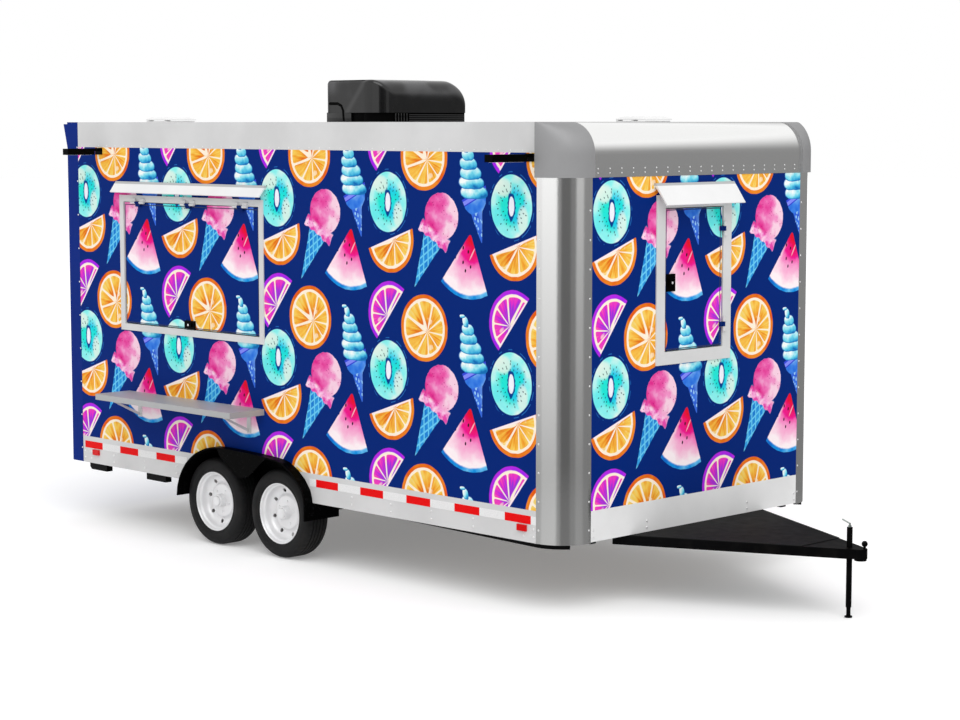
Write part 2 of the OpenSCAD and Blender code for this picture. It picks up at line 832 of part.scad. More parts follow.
module ac_unit() {
  color([0.03, 0.03, 0.03]) placed() translate([ac_x, 0, roof_z]) intersection() {
    rotate([90, 0, 90]) translate([0, 0, -ac_l / 2]) linear_extrude(ac_l)
      ac_shape(ac_w, ac_h, 24, 150);
    along_y(-ac_w / 2 - 1, ac_w / 2 + 1) translate([0, 0]) ac_shape(ac_l, ac_h, 40, 40);
  }
}

module roof_vents() {
  color([0.92, 0.92, 0.92]) placed() for (v = vent_at) {
    translate([v[0], v[1], roof_z]) {
      difference() {
        translate([-vent_s / 2, -vent_s / 2, 0]) cube([vent_s, vent_s, curb_h - 6]);
        translate([-vent_s / 2 + 30, -vent_s / 2 + 30, -1]) cube([vent_s - 60, vent_s - 60, 40]);
      }
      for (s = [-1, 1]) translate([vent_axis, s * vent_s * 0.3, 0]) vent_post();
    }
  }
}

vent_axis = -vent_s / 2 - barrel_r - 6;
vent_hinge_l = 48;

module vent_post() {
  translate([0, 0, curb_h]) rotate([90, 0, 0]) hinge_post(vent_hinge_l);
  for (s = [-1, 1]) {
    translate([-7, s * 16.5 - 7.5, 0]) cube([24, 15, curb_h - 6]);
  }
}

module vent_lid(v) {
  lid = vent_s + 10;
  color([0.95, 0.95, 0.95]) placed() translate([v[0], v[1], roof_z + curb_h]) difference() {
    union() {
      translate([6, 0, 0]) linear_extrude(6) square([lid, lid], center = true);
      hull() {
        translate([6, 0, 5]) linear_extrude(1) square([lid, lid], center = true);
        translate([6, 0, lid_t - 1]) linear_extrude(1) square([lid - 70, lid - 70], center = true);
      }
      for (s = [-1, 1]) {
        translate([vent_axis, s * vent_s * 0.3, 0]) rotate([90, 0, 0]) hinge_eye(vent_hinge_l);
        translate([vent_axis, s * vent_s * 0.3 - 7.5, 1]) cube([36, 15, 5]);
      }
    }
    for (s = [-1, 1]) {
      translate([vent_axis, s * vent_s * 0.3, 0]) rotate([90, 0, 0]) {
        hinge_bore(vent_hinge_l);
        for (e = [-1, 1]) translate([0, 0, e * 16.5]) cylinder(h = 18, r = barrel_r + 1.5, center = true);
      }
    }
  }
}

module vent_lid_front() { vent_lid(vent_at[0]); }
module vent_lid_rear() { vent_lid(vent_at[1]); }

// ---- lights ----

module scene_light(i) {
  x = light_x[i];
  out = half_w + light_out - 61 * i;
  block([x - 30, half_w + 60, light_z - light_t / 2], [x + 30, out, light_z + light_t / 2]);
  block([x - 40, half_w, light_z - 22], [x + 40, half_w + 6, light_z + 26]);
  block([x - 8, half_w + 5, light_z + 4], [x + 8, half_w + 62, light_z + 20]);
}

// two on the serving side and one at the rear of the other side
module scene_lights() {
  color([0.02, 0.02, 0.02]) placed() {
    mirror([0, 1, 0]) for (i = [0, 1]) scene_light(i);
    scene_light(1);
  }
}

module lamps() {
  z = wall_z - 110;
  color([0.8, 0.02, 0.02]) placed() {
    both() for (x = [side_x + 168, -corner_r - 110]) {
      block([x - 37, half_w, z - 20], [x + 37, half_w + 14, z + 19]);
    }
    both() translate([-body_l, half_w - post_w / 2, wall_z + 430]) rotate([0, -90, 0])
      round_box(180, 56, 16, 20);
  }
}

tongue_rails();
tongue_deck();
coupler();
jack_tube();
jack_leg();
jack_crank();
chassis_rails();
crossmembers();
axles();
leaf_springs();
tyre_front_right();
tyre_front_left();
tyre_rear_right();
tyre_rear_left();
rim_front_right();
rim_front_left();
rim_rear_right();
rim_rear_left();
floor();
right_wall();
left_wall();
front_wall();
roof();
nose_cap();
corner_caps();
corner_posts();
side_skirts();
top_rails();
front_strip();
fenders();
rear_frame();
rear_door_right();
rear_door_left();
hatch_frame();
serving_hatch();
hatch_latch();
visors();
front_door_frame();
front_door();
front_door_latch();
shelf();
shelf_brackets();
ac_unit();
roof_vents();
vent_lid_front();
vent_lid_rear();
scene_lights();
lamps();
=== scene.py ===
from math import atan2, cos, hypot, pi, radians, sin, sqrt, tau
import bpy
import bmesh
from mathutils import Matrix, Vector


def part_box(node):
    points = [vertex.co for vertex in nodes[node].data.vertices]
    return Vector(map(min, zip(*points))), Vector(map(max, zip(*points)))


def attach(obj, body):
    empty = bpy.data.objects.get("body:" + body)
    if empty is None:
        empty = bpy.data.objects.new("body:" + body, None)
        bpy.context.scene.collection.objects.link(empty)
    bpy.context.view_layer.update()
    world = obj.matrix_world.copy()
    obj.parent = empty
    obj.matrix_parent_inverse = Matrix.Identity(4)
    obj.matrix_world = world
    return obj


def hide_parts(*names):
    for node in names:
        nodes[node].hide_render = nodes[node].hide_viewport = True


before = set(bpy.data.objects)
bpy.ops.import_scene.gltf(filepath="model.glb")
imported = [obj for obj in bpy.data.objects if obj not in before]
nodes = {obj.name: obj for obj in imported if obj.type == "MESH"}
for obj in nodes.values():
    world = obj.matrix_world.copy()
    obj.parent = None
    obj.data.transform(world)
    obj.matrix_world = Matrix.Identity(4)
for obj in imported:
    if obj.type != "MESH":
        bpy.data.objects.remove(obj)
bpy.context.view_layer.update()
print("frame loaded with", len(nodes), "nodes")

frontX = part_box("front_wall")[1].x  # outer face of the front wall
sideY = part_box("left_wall")[1].y  # outer face of a side wall


def tint(red, green, blue):
    # 0-255 screen colour to the linear colour that a shader takes
    def line(value):
        value /= 255
        return value / 12.92 if value <= 0.04045 else ((value + 0.055) / 1.055) ** 2.4
    return line(red), line(green), line(blue), 1.0


def grey(value):
    return tint(value, value, value)


def squares(x, y):
    return x * x + y * y


def feed(tree, slot, value):
    if isinstance(value, surfaceNumber):
        tree.links.new(value.socket, slot)
    elif isinstance(value, bpy.types.NodeSocket):
        tree.links.new(value, slot)
    else:
        slot.default_value = value


class surfaceNumber:
    # a number that changes over a surface; arithmetic on it adds Math nodes
    def __init__(self, tree, socket):
        self.tree, self.socket = tree, socket

    def calc(self, operation, *others):
        step = self.tree.nodes.new("ShaderNodeMath")
        step.operation = operation
        for slot, value in zip(step.inputs, (self,) + others):
            feed(self.tree, slot, value)
        return surfaceNumber(self.tree, step.outputs[0])

    def __add__(self, other):
        return self.calc("ADD", other)

    def __sub__(self, other):
        return self.calc("SUBTRACT", other)

    def __mul__(self, other):
        return self.calc("MULTIPLY", other)

    def __truediv__(self, other):
        return self.calc("DIVIDE", other)

    def __abs__(self):
        return self.calc("ABSOLUTE")

    def least(self, other):
        return self.calc("MINIMUM", other)

    def most(self, other):
        return self.calc("MAXIMUM", other)

    def around(self, middle, period):
        # distance from the nearest copy of middle, between -period/2 and period/2
        return (self - middle).calc("WRAP", period / 2, -period / 2)

    def rise(self, start, end):
        # 0 before start and 1 after end, or the other way round when end is lower
        step = self.tree.nodes.new("ShaderNodeMapRange")
        step.interpolation_type = "SMOOTHSTEP"
        for key, value in (("Value", self), ("From Min", start), ("From Max", end)):
            feed(self.tree, step.inputs[key], value)
        return surfaceNumber(self.tree, step.outputs[0])


class finish:
    # one material with the nodes that make it
    def __init__(self, name):
        self.material = bpy.data.materials.new(name)
        self.material.use_nodes = True
        self.tree = self.material.node_tree
        self.shader = self.tree.nodes["Principled BSDF"]
        self.coords = self.add("ShaderNodeTexCoord")
        self.vector = self.coords.outputs["Object"]

    def add(self, kind, inputs=None, **settings):
        made = self.tree.nodes.new(kind)
        for key, value in settings.items():
            setattr(made, key, value)
        for key, value in (inputs or {}).items():
            feed(self.tree, made.inputs[key], value)
        return made

    def number(self, socket):
        return surfaceNumber(self.tree, socket)

    def place(self, output="Object"):
        parts = self.add("ShaderNodeSeparateXYZ", {"Vector": self.coords.outputs[output]})
        return [self.number(parts.outputs[key]) for key in "XYZ"]

    def point(self, x, y, z=0.0):
        return self.add("ShaderNodeCombineXYZ", {"X": x, "Y": y, "Z": z}).outputs[0]

    def noise(self, scale, detail=2.0, vector=None, stretch=None):
        vector = vector or self.vector
        if stretch:
            vector = self.add("ShaderNodeMapping", {"Vector": vector, "Scale": stretch}).outputs[0]
        made = self.add("ShaderNodeTexNoise", {"Vector": vector, "Scale": scale, "Detail": detail})
        return self.number(made.outputs["Fac"])

    def blotch(self, p, q, scale, seed, detail=2.0):
        return self.noise(scale, detail, self.point(p, q, seed))

    def cells(self, scale, vector=None, feature="F1"):
        made = self.add("ShaderNodeTexVoronoi", {"Vector": vector or self.vector, "Scale": scale},
                        feature=feature)
        return self.number(made.outputs["Distance"])

    def ramp(self, value, stops):
        # each stop is a place and one number, or a place and a screen colour
        made = self.add("ShaderNodeValToRGB", {"Fac": value})
        row = made.color_ramp.elements
        while len(row) < len(stops):
            row.new(1.0)
        for part, (place, *shade) in zip(row, stops):
            part.position = place
            part.color = tint(*shade) if len(shade) == 3 else (*shade * 3, 1)
        return made.outputs["Color"]

    def level(self, value, stops):
        return self.number(self.ramp(value, stops))

    def mix(self, share, under, over):
        made = self.add("ShaderNodeMix", data_type="RGBA")
        for slot, value in zip((0, 6, 7), (share, under, over)):  # the sockets for colours
            feed(self.tree, made.inputs[slot], value)
        return made.outputs[2]

    def bump(self, height, depth, strength=1.0, under=None):
        made = self.add("ShaderNodeBump", {"Height": height, "Distance": depth, "Strength": strength})
        if under:
            feed(self.tree, made.inputs["Normal"], under)
        return made.outputs[0]

    def surface(self, **values):
        for key, value in values.items():
            feed(self.tree, self.shader.inputs[key.replace("_", " ")], value)
        return self.material

    def coat(self, colour, roughness, normal, gloss=0.5, metallic=0.0):
        return self.surface(Base_Color=colour, Roughness=roughness, Normal=normal,
                            Specular_IOR_Level=gloss, Metallic=metallic)


def dress(material, *names):
    for name in names:
        slots = nodes[name].data.materials
        for i in range(len(slots)):
            slots[i] = material
        if not len(slots):
            slots.append(material)


def newObject(name, data):
    made = bpy.data.objects.new(name, data)
    bpy.context.scene.collection.objects.link(made)
    return made


def newMesh(name, mesh):
    data = bpy.data.meshes.new(name)
    mesh.to_mesh(data)
    mesh.free()
    return data


def aim(item, ahead):
    item.rotation_mode = "QUATERNION"
    item.rotation_quaternion = ahead.to_track_quat("-Z", "Y")


cameraSet = {
    "place": (frontX + 8.8514, -10.7013, 2.886),
    "yaw": 135.2065, "pitch": -5.9912,  # degrees from +X and above the level
    "lens": 84.37, "sensor": 36, "near": 0.1, "far": 400,
}


def makeCamera(setup):
    yaw, pitch = radians(setup["yaw"]), radians(setup["pitch"])
    level = cos(pitch)
    ahead = Vector((cos(yaw) * level, sin(yaw) * level, sin(pitch)))
    data = bpy.data.cameras.new("camera")
    data.lens, data.sensor_width = setup["lens"], setup["sensor"]
    data.clip_start, data.clip_end = setup["near"], setup["far"]
    camera = newObject("camera", data)
    camera.location = setup["place"]
    aim(camera, ahead)
    bpy.context.scene.camera = camera


makeCamera(cameraSet)
bpy.context.scene.view_settings.view_transform = "Standard"
print("camera set")

wrapLook = {
    "ground": tint(0, 38, 116),
    "tile": (1.078, 1.052),  # width and height of one repeat on the sides
    "frontScale": 1.078 / 1.033,  # the front panel's print is slightly narrower
    "frontRise": 1.052 / 1.040,
    "sideStart": (frontX - 1.514, 1.350),  # middle of a kiwi on the side
    "frontStart": (-0.821, 1.330),  # and on the front
    "roughness": 0.46,
    "gloss": 0.03,  # specular level
    "lining": tint(226, 227, 224),  # inside face of the panels
    "liningSeam": tint(176, 177, 175), "seamPitch": 0.61,
    "barrel": tint(4, 34, 100),  # hinge barrels are painted to match
    # each motif's place in the tile, its lean in degrees and its size
    "kiwi": (0.0, 0.0, 0.0, (0.172, 0.190)),
    "orange": (0.327, 0.285, 0.0, 0.209),
    "orangeHalf": (0.022, -0.228, 18.8, 0.213),
    "plumHalf": (0.020, 0.354, -128.3, 0.206),
    "melon": (-0.343, -0.165, -9.4, 0.405),
    "softServe": (-0.324, 0.095, 13.5, 0.66),
    "scoop": (0.482, -0.075, -28.5),
}


def citrusSlice(mat, p, q, radius, wedges, shift, rim, flesh, cut):
    # a round slice, or the half below a straight cut
    edge = mat.blotch(p, q, 16.0, shift)
    r = squares(p, q).calc("SQRT") / radius + (edge - 0.5) * 0.035
    ox, oy = 0.03, -0.02  # the wedges meet a little off the middle
    a = (q - oy).calc("ARCTAN2", p - ox) * (wedges / tau) + shift
    part = a.calc("FRACT")
    nearLine = abs(part - 0.5)
    gap = ((nearLine * -1.0 + 0.5) * (tau / wedges)).calc("SINE") * r
    inside = (gap - 0.022).calc("SMOOTH_MIN", r * -1.0 + 0.80, 0.10)
    fleshMask = inside.rise(0.0, 0.016)
    streak = mat.noise(1.0, 3.0, mat.point(a * 6.0, r * 1.6, shift))
    whole = mat.blotch(p, q, 7.0, shift + 4.0)
    tone = streak * 0.75 + whole * 0.55 + r * 0.42 - 0.42
    fleshTone = mat.ramp(tone, flesh)
    body = mat.mix(fleshMask, tint(252, 238, 216), fleshTone)
    shine = mat.blotch(p, q, 14.0, shift + 9.0, 1.0).rise(0.66, 0.74) * fleshMask
    body = mat.mix(shine * 0.55, body, tint(255, 244, 220))
    skin = mat.ramp(mat.blotch(p, q, 9.0, shift + 2.0), rim)
    body = mat.mix(r.rise(0.865, 0.885), body, skin)
    mask = r.rise(1.0, 0.985)
    if cut:
        body = mat.mix(q.rise(-0.012, -0.007) * r.rise(0.90, 0.88), body, tint(250, 232, 238))
        mask = mask * q.rise(0.003, 0.0)
    return mask, body


def kiwiSlice(mat, p, q, size):
    wash = mat.blotch(p, q, 6.0, 1.0)
    edge = mat.blotch(p, q, 14.0, 2.0) - 0.5
    x, y = p / size[0], q / size[1]
    r = squares(x, y).calc("SQRT") + edge * 0.05
    a = y.calc("ARCTAN2", x)
    rim = mat.ramp(wash, [(0.35, 222, 243, 236), (0.5, 150, 240, 236), (0.65, 105, 232, 232)])
    ring = mat.ramp(x * 0.28 + wash, [(0.30, 48, 226, 186), (0.48, 30, 226, 214), (0.66, 26, 190, 232)])
    body = mat.mix((r + (wash - 0.5) * 0.7).rise(0.80, 0.48), rim, ring)
    glow = ((x + 0.38) * (x + 0.38) * 5.0 + (y - 0.58) * (y - 0.58) * 9.0).rise(1.1, 0.3)
    glow = glow.most(((x - 0.55) * (x - 0.55) * 12.0 + (y + 0.42) * (y + 0.42) * 4.0).rise(1.1, 0.3))
    body = mat.mix(glow * 0.8, body, tint(224, 240, 228))
    seeds = None
    for count, ringAt, turnBy in ((17, 0.46, 0.0), (19, 0.60, 0.5), (13, 0.72, 0.2)):
        b = a * (count / tau) + turnBy
        wob = mat.noise(1.0, 0.0, mat.point(b.calc("FLOOR") * 3.7, ringAt, 0.0)) - 0.5
        along = (b.calc("FRACT") - 0.5 + wob * 0.5) * (tau / count) * ringAt
        out = r - ringAt - wob * 0.22
        dot = squares(along * 26.0, out * 15.0).rise(0.42, 0.2)
        seeds = dot if seeds is None else seeds.most(dot)
    body = mat.mix(seeds * 0.85, body, tint(30, 60, 70))
    core = squares(x / 0.125, y / 0.29).calc("SQRT") + edge * 0.5
    spike = (a * 9.0).calc("SINE") * 0.10
    body = mat.mix((core + spike).rise(1.62, 1.40), body, tint(0, 62, 138))
    body = mat.mix(core.rise(1.08, 0.96), body, tint(236, 240, 250))
    mask = r.rise(1.0, 0.975)
    dash = abs(r - 1.075).rise(0.022, 0.008)  # broken pen line round the rind
    dash = dash * (a * 13.0 + edge * 12.0).calc("SINE").rise(-0.2, 0.2)
    dash = dash * mat.noise(2.2, 1.0, mat.point(x, y, 3.0)).rise(0.42, 0.5)
    body = mat.mix(mask, tint(38, 112, 190), body)
    return mask.most(dash * 0.8), body


def softServe(mat, p, q, tall):
    # p across, q up; soft tiers on top, then a band, a cup and a narrow cone
    wash = mat.blotch(p, q, 10.0, 5.0)
    fine = mat.blotch(p, q, 26.0, 6.0) - 0.5
    blot = mat.blotch(p, q, 21.0, 11.0) - 0.5
    t = q * (-1.0 / tall) + 0.5  # 0 at the tip, 1 at the cone's end
    halfLow = mat.level(t, [(0.50, 0.112), (0.565, 0.108), (0.60, 0.098), (0.66, 0.088),
                            (0.705, 0.060), (0.72, 0.048), (1.0, 0.003)])
    cupTone = mat.ramp(wash, [(0.3, 24, 96, 214), (0.5, 60, 128, 226), (0.7, 128, 182, 240)])
    flecks = mat.cells(34.0, mat.point(p * 1.4, q, 0.0)).rise(0.30, 0.42)
    coneBlue = mat.ramp(wash, [(0.4, 60, 116, 226), (0.6, 40, 84, 206)])
    coneTone = mat.mix(flecks, tint(150, 200, 240), coneBlue)
    coneTone = mat.mix(p.rise(0.0, 0.03) * 0.35, coneTone, tint(130, 186, 245))
    body = mat.mix(t.rise(0.715, 0.722), cupTone, coneTone)
    bandAt = t + p * 0.30
    for start, end, colour in ((0.610, 0.602, tint(44, 60, 205)), (0.598, 0.590, tint(128, 136, 244)),
                               (0.560, 0.553, tint(52, 70, 214))):
        body = mat.mix(bandAt.rise(start, end), body, colour)
    mask = (abs(p) - halfLow + fine * 0.006).rise(0.002, -0.002)
    mask = mask * bandAt.rise(0.532, 0.538) * t.rise(1.0, 0.99)
    # middle, half width and half height of each tier
    tiers = [(0.004, -0.020, 0.113, 0.040), (-0.003, 0.040, 0.104, 0.040), (0.004, 0.098, 0.090, 0.040),
             (-0.002, 0.156, 0.072, 0.038), (0.006, 0.210, 0.050, 0.036), (-0.004, 0.258, 0.024, 0.034),
             (-0.022, 0.292, 0.022, 0.011)]
    for cx, cy, wide, high in tiers:
        u = (p - cx) / wide
        v = (q - cy - p * -0.22) / high
        edge = (u * u * u * u + v * v).calc("SQRT") + fine * 0.22
        shade = v * 0.30 - u * 0.16 + wash * 0.5 + blot * 0.5
        tone = mat.ramp(shade + 0.30, [(0.20, 16, 104, 176), (0.34, 52, 166, 214),
                                       (0.50, 112, 212, 232), (0.64, 178, 234, 242), (0.78, 244, 250, 248)])
        tone = mat.mix(edge.rise(0.80, 1.0), tone, tint(24, 118, 186))
        inside = edge.rise(1.03, 0.99)
        body = mat.mix(inside, body, tone)
        mask = mask.most(inside)
    return mask, body


def scoopCone(mat, p, q):
    # the ball's middle is at 0,0 and the cone points down
    wash = mat.blotch(p, q, 8.0, 7.0, 3.0)
    fine = mat.blotch(p, q, 30.0, 8.0) - 0.5
    ballR = (p * p + q * q * 1.06).calc("SQRT") + fine * 0.012
    blot = mat.blotch(p, q, 17.0, 12.0) - 0.5
    ball = mat.ramp(wash * 0.9 - p * 1.5 - q * 0.9 + blot * 0.35 + 0.03,
                    [(0.26, 246, 206, 224), (0.40, 240, 152, 200), (0.54, 234, 96, 172),
                     (0.72, 222, 44, 140)])
    skirtLow = mat.noise(1.0, 0.0, mat.point(p * 19.0, 0.0, 2.0)) * 0.055 - 0.195
    skirt = q.rise(-0.085, -0.100) * (q - skirtLow).rise(-0.004, 0.0)
    skirt = skirt * (abs(p) - 0.137 + fine * 0.02).rise(0.004, -0.002)
    skirtTone = mat.ramp(mat.blotch(p, q, 22.0, 3.0),
                         [(0.36, 228, 74, 170), (0.5, 244, 160, 212), (0.64, 250, 214, 232)])
    ball = mat.mix(q.rise(-0.095, -0.125), ball, skirtTone)
    specks = mat.cells(36.0, mat.point(p, q, 4.0)).rise(0.17, 0.11)
    ball = mat.mix(specks * 0.8, ball, tint(176, 26, 110))
    ballMask = ballR.rise(0.149, 0.146).most(skirt)
    down = (q * -1.0 - 0.12) / 0.385  # 0 at the cone's top, 1 at its tip
    half = (down * -1.0 + 1.0) * 0.094
    coneMask = (abs(p) - half + fine * 0.006).rise(0.002, -0.002)
    coneMask = coneMask * down.rise(0.0, 0.02) * down.rise(1.0, 0.985)
    one = (p * 1.35 + q * 0.75) / 0.062
    two = (p * 1.35 - q * 0.75) / 0.062
    lines = abs(one.calc("FRACT") - 0.5).most(abs(two.calc("FRACT") - 0.5))  # waffle lines
    cell = mat.ramp(wash + fine * 0.4, [(0.35, 22, 120, 206), (0.65, 52, 160, 226)])
    cone = mat.mix(lines.rise(0.34, 0.40), cell, tint(104, 200, 238))
    body = mat.mix(ballMask, cone, ball)
    return ballMask.most(coneMask), body


def melonWedge(mat, p, q, reach):
    # the point is at 0,0 and the rind below it
    wash = mat.blotch(p, q, 8.0, 9.0, 3.0)
    fine = mat.blotch(p, q, 26.0, 3.5) - 0.5
    r = squares(p, q).calc("SQRT")
    a = p.calc("ARCTAN2", q * -1.0)  # 0 straight down
    half = radians(31)  # half of the wedge's angle
    tone = r * 2.5 - a * 0.18 + (wash - 0.5) * 0.5
    body = mat.ramp(tone, [(0.10, 226, 16, 44), (0.24, 232, 8, 78), (0.38, 236, 28, 148),
                           (0.55, 244, 140, 196), (0.72, 248, 192, 218), (0.90, 252, 238, 242)])
    edge = (abs(a) * -1.0 + half) * r
    pale = (edge + fine * 0.03).rise(0.030, 0.0) * a.rise(0.0, -0.3) * r.rise(0.08, 0.16) * 0.7
    body = mat.mix(pale, body, tint(250, 224, 234))
    seeds = None
    for sx, sy in ((-0.047, -0.103), (0.0, -0.118), (-0.104, -0.170), (-0.034, -0.190),
                   (0.034, -0.204), (-0.006, -0.236)):
        dot = squares((p - sx) * 95.0, (q - sy) * 56.0).rise(0.5, 0.28)
        seeds = dot if seeds is None else seeds.most(dot)
    body = mat.mix(seeds, body, tint(46, 24, 34))
    shine = squares((p - q * 0.42 - 0.088) * 150.0, (q + 0.125) * 20.0).rise(1.0, 0.3)
    body = mat.mix(shine * 0.55, body, tint(255, 226, 234))
    rindAt = r + fine * 0.008 + abs(a) * 0.012
    rind = mat.ramp(wash + a * 0.2, [(0.3, 8, 100, 196), (0.5, 18, 142, 222), (0.7, 110, 196, 240)])
    body = mat.mix(rindAt.rise(reach * 0.925, reach * 0.955), body, rind)
    rounded = edge.calc("SMOOTH_MIN", (q * -1.0 - 0.012), 0.02)
    mask = (rounded + fine * 0.004).rise(0.0, 0.004) * rindAt.rise(reach + 0.002, reach - 0.002)
    return mask, body


def makeWrap(look):
    mat = finish("printedWrap")
    x, y, z = mat.place()
    nx, ny, _ = mat.place("Normal")
    onFront = abs(nx).rise(0.5, 0.6)
    side = x * (ny.calc("SIGN") * -1.0) - look["sideStart"][0]  # the left side isn't a mirror image
    front = (y - look["frontStart"][0]) * look["frontScale"]
    u = side + (front - side) * onFront
    up = z - look["sideStart"][1]
    v = up + ((z - look["frontStart"][1]) * look["frontRise"] - up) * onFront
    across, tall = look["tile"]

    def placed(name):
        du, dv, lean, *size = look[name]
        p, q = u.around(du, across), v.around(dv, tall)
        c, s = cos(radians(lean)), sin(radians(lean))
        return p * c + q * s, q * c - p * s, *size

    orange = [(0.26, 226, 112, 26), (0.40, 240, 166, 52), (0.54, 246, 200, 84), (0.74, 236, 218, 138)]
    peel = [(0.35, 226, 92, 14), (0.6, 236, 134, 34)]
    plum = [(0.30, 150, 52, 214), (0.45, 226, 44, 200), (0.60, 240, 70, 176), (0.80, 244, 132, 190)]
    plumPeel = [(0.35, 134, 22, 236), (0.6, 180, 40, 226)]
    motifs = [
        kiwiSlice(mat, *placed("kiwi")),
        citrusSlice(mat, *placed("orange"), 9, 0.15, peel, orange, False),
        citrusSlice(mat, *placed("orangeHalf"), 9, 0.62, peel, orange, True),
        citrusSlice(mat, *placed("plumHalf"), 9, 0.40, plumPeel, plum, True),
        melonWedge(mat, *placed("melon")),
        softServe(mat, *placed("softServe")),
        scoopCone(mat, *placed("scoop")),
    ]
    colour = look["ground"]
    for mask, body in motifs:
        colour = mat.mix(mask, colour, body)
    inside = abs(y).rise(sideY - 0.004, sideY - 0.006) * x.rise(frontX - 0.004, frontX - 0.006)
    pitch = look["seamPitch"]
    seam = (abs(x.around(0.0, pitch)).least(abs(y.around(0.0, pitch))) - 0.004).rise(0.0, 0.003)
    colour = mat.mix(inside, colour, mat.mix(seam, look["liningSeam"], look["lining"]))
    barrels = abs(y).rise(sideY + 0.002, sideY + 0.004).most(x.rise(frontX + 0.002, frontX + 0.004))
    colour = mat.mix(barrels, colour, look["barrel"])
    ripple = mat.noise(3.0, 2.0)
    grain = mat.noise(260.0, 2.0)
    rough = (mat.noise(5.0, 3.0) - 0.5) * 0.12 + look["roughness"] + inside * 0.15
    normal = mat.bump(ripple, 0.004, 0.25, mat.bump(grain, 0.0004, 0.25))
    return mat.coat(colour, rough, normal, look["gloss"])


dress(makeWrap(wrapLook), "right_wall", "left_wall", "front_wall", "serving_hatch", "front_door")
print("wrap printed")


def darker(colour, share):
    return *(part * (1 - share) for part in colour[:3]), 1


def paintedMetal(name, colour, roughness=0.4, metallic=0.0, mottle=0.10, grain=180.0, dirt=0.0,
                 gloss=0.3, peel=0.35):
    # sprayed or powder-coated metal, with orange peel and slightly uneven tone
    mat = finish(name)
    broad, fine = mat.noise(2.3, 4.0), mat.noise(grain, 2.0)
    tone = mat.mix(broad.rise(0.3, 0.7), darker(colour, mottle), colour)
    if dirt:
        z = mat.place()[2]
        film = mat.noise(9.0, 5.0).rise(0.48, 0.74) * z.rise(0.9, 0.15) * dirt
        tone = mat.mix(film, tone, tint(90, 84, 76))
    rough = (mat.noise(14.0, 3.0) - 0.5) * 0.22 + roughness
    return mat.coat(tone, rough, mat.bump(fine, 0.0005, peel), gloss, metallic)


def rolledMetal(name, colour, roughness, along=(1, 1, 60), metallic=1.0, mottle=0.06, smear=0.10):
    # bare or lightly brushed sheet, with fine lines along one direction
    mat = finish(name)
    lines = mat.noise(22.0, 3.0, stretch=along)
    cloud = mat.noise(1.7, 4.0)
    tone = mat.mix(lines * 0.6 + cloud * 0.4, darker(colour, mottle), colour)
    rough = (lines - 0.5) * smear + (cloud - 0.5) * 0.08 + roughness
    return mat.coat(tone, rough, mat.bump(lines, 0.0004, 0.20), metallic=metallic)


def makeFenderCoat():
    # near-black stoved coat with sparse bright flakes
    mat = finish("fenderCoat")
    flake = mat.cells(170.0).rise(0.22, 0.08) * mat.noise(40.0, 1.0).rise(0.56, 0.62)
    tone = mat.mix(flake, grey(2), tint(84, 85, 90))
    rough = mat.noise(20.0, 2.0) * 0.2 + 0.34
    return mat.coat(tone, rough, mat.bump(mat.noise(150.0, 2.0), 0.0006, 0.4), 0.02)


def makeHoodPlastic():
    # glossy black plastic, lighter in broad patches towards its top edge: partly sun fade, partly a painted
    # highlight in place of the sky reflected on the top edges
    mat = finish("blackPlastic")
    z = mat.place()[2]
    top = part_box("ac_unit")[1].z
    patch = mat.noise(3.4, 2.0).rise(0.40, 0.60)
    # painted highlight and sun fade: the top 0.15 m goes towards grey in patches, standing in for the bright
    # sky mirrored on the top edges
    fadeAndPaintedSheen = z.rise(top - 0.15, top - 0.01) * patch * 0.7
    tone = mat.mix(fadeAndPaintedSheen, tint(2, 2, 3), tint(88, 88, 90))
    rough = (mat.noise(14.0, 3.0) - 0.5) * 0.16 + fadeAndPaintedSheen * 0.2 + 0.13
    return mat.coat(tone, rough, mat.bump(mat.noise(60.0, 2.0), 0.0004, 0.3), 0.55)


def reflectiveTape(name, colour):
    # moulded honeycomb under a clear face
    mat = finish(name)
    x, _, z = mat.place()
    cell = mat.cells(260.0, mat.point(x, z), "DISTANCE_TO_EDGE").rise(0.0, 0.10)
    tone = mat.mix(cell, darker(colour, 0.20), colour)
    rough = mat.noise(30.0, 2.0) * 0.15 + 0.28
    return mat.coat(tone, rough, mat.bump(cell, 0.0002, 0.3), 0.06)


visorLook = {
    "flap": (grey(226), grey(238)), "strip": tint(180, 181, 182),
    "doorStrip": 0.015, "hatchStrip": 0.080,  # below the door visor's top, and above the hatch frame
}


def makeVisorPaint(look):
    # white flap below a grey mounting strip; the hatch's visor is mounted lower than the door's
    mat = finish("visorPaint")
    x, _, z = mat.place()
    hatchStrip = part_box("hatch_frame")[1].z + look["hatchStrip"]
    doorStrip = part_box("visors")[1].z - look["doorStrip"]
    strip = z.rise(hatchStrip - 0.001, hatchStrip + 0.001) * x.rise(frontX, frontX - 0.01)
    strip = strip.most(z.rise(doorStrip - 0.001, doorStrip + 0.001))
    tone = mat.mix(strip, mat.mix(mat.noise(5.0, 3.0), *look["flap"]), look["strip"])
    rough = mat.noise(30.0, 2.0) * 0.2 + 0.4
    return mat.coat(tone, rough, mat.bump(mat.noise(160.0, 2.0), 0.0004, 0.3), 0.15)


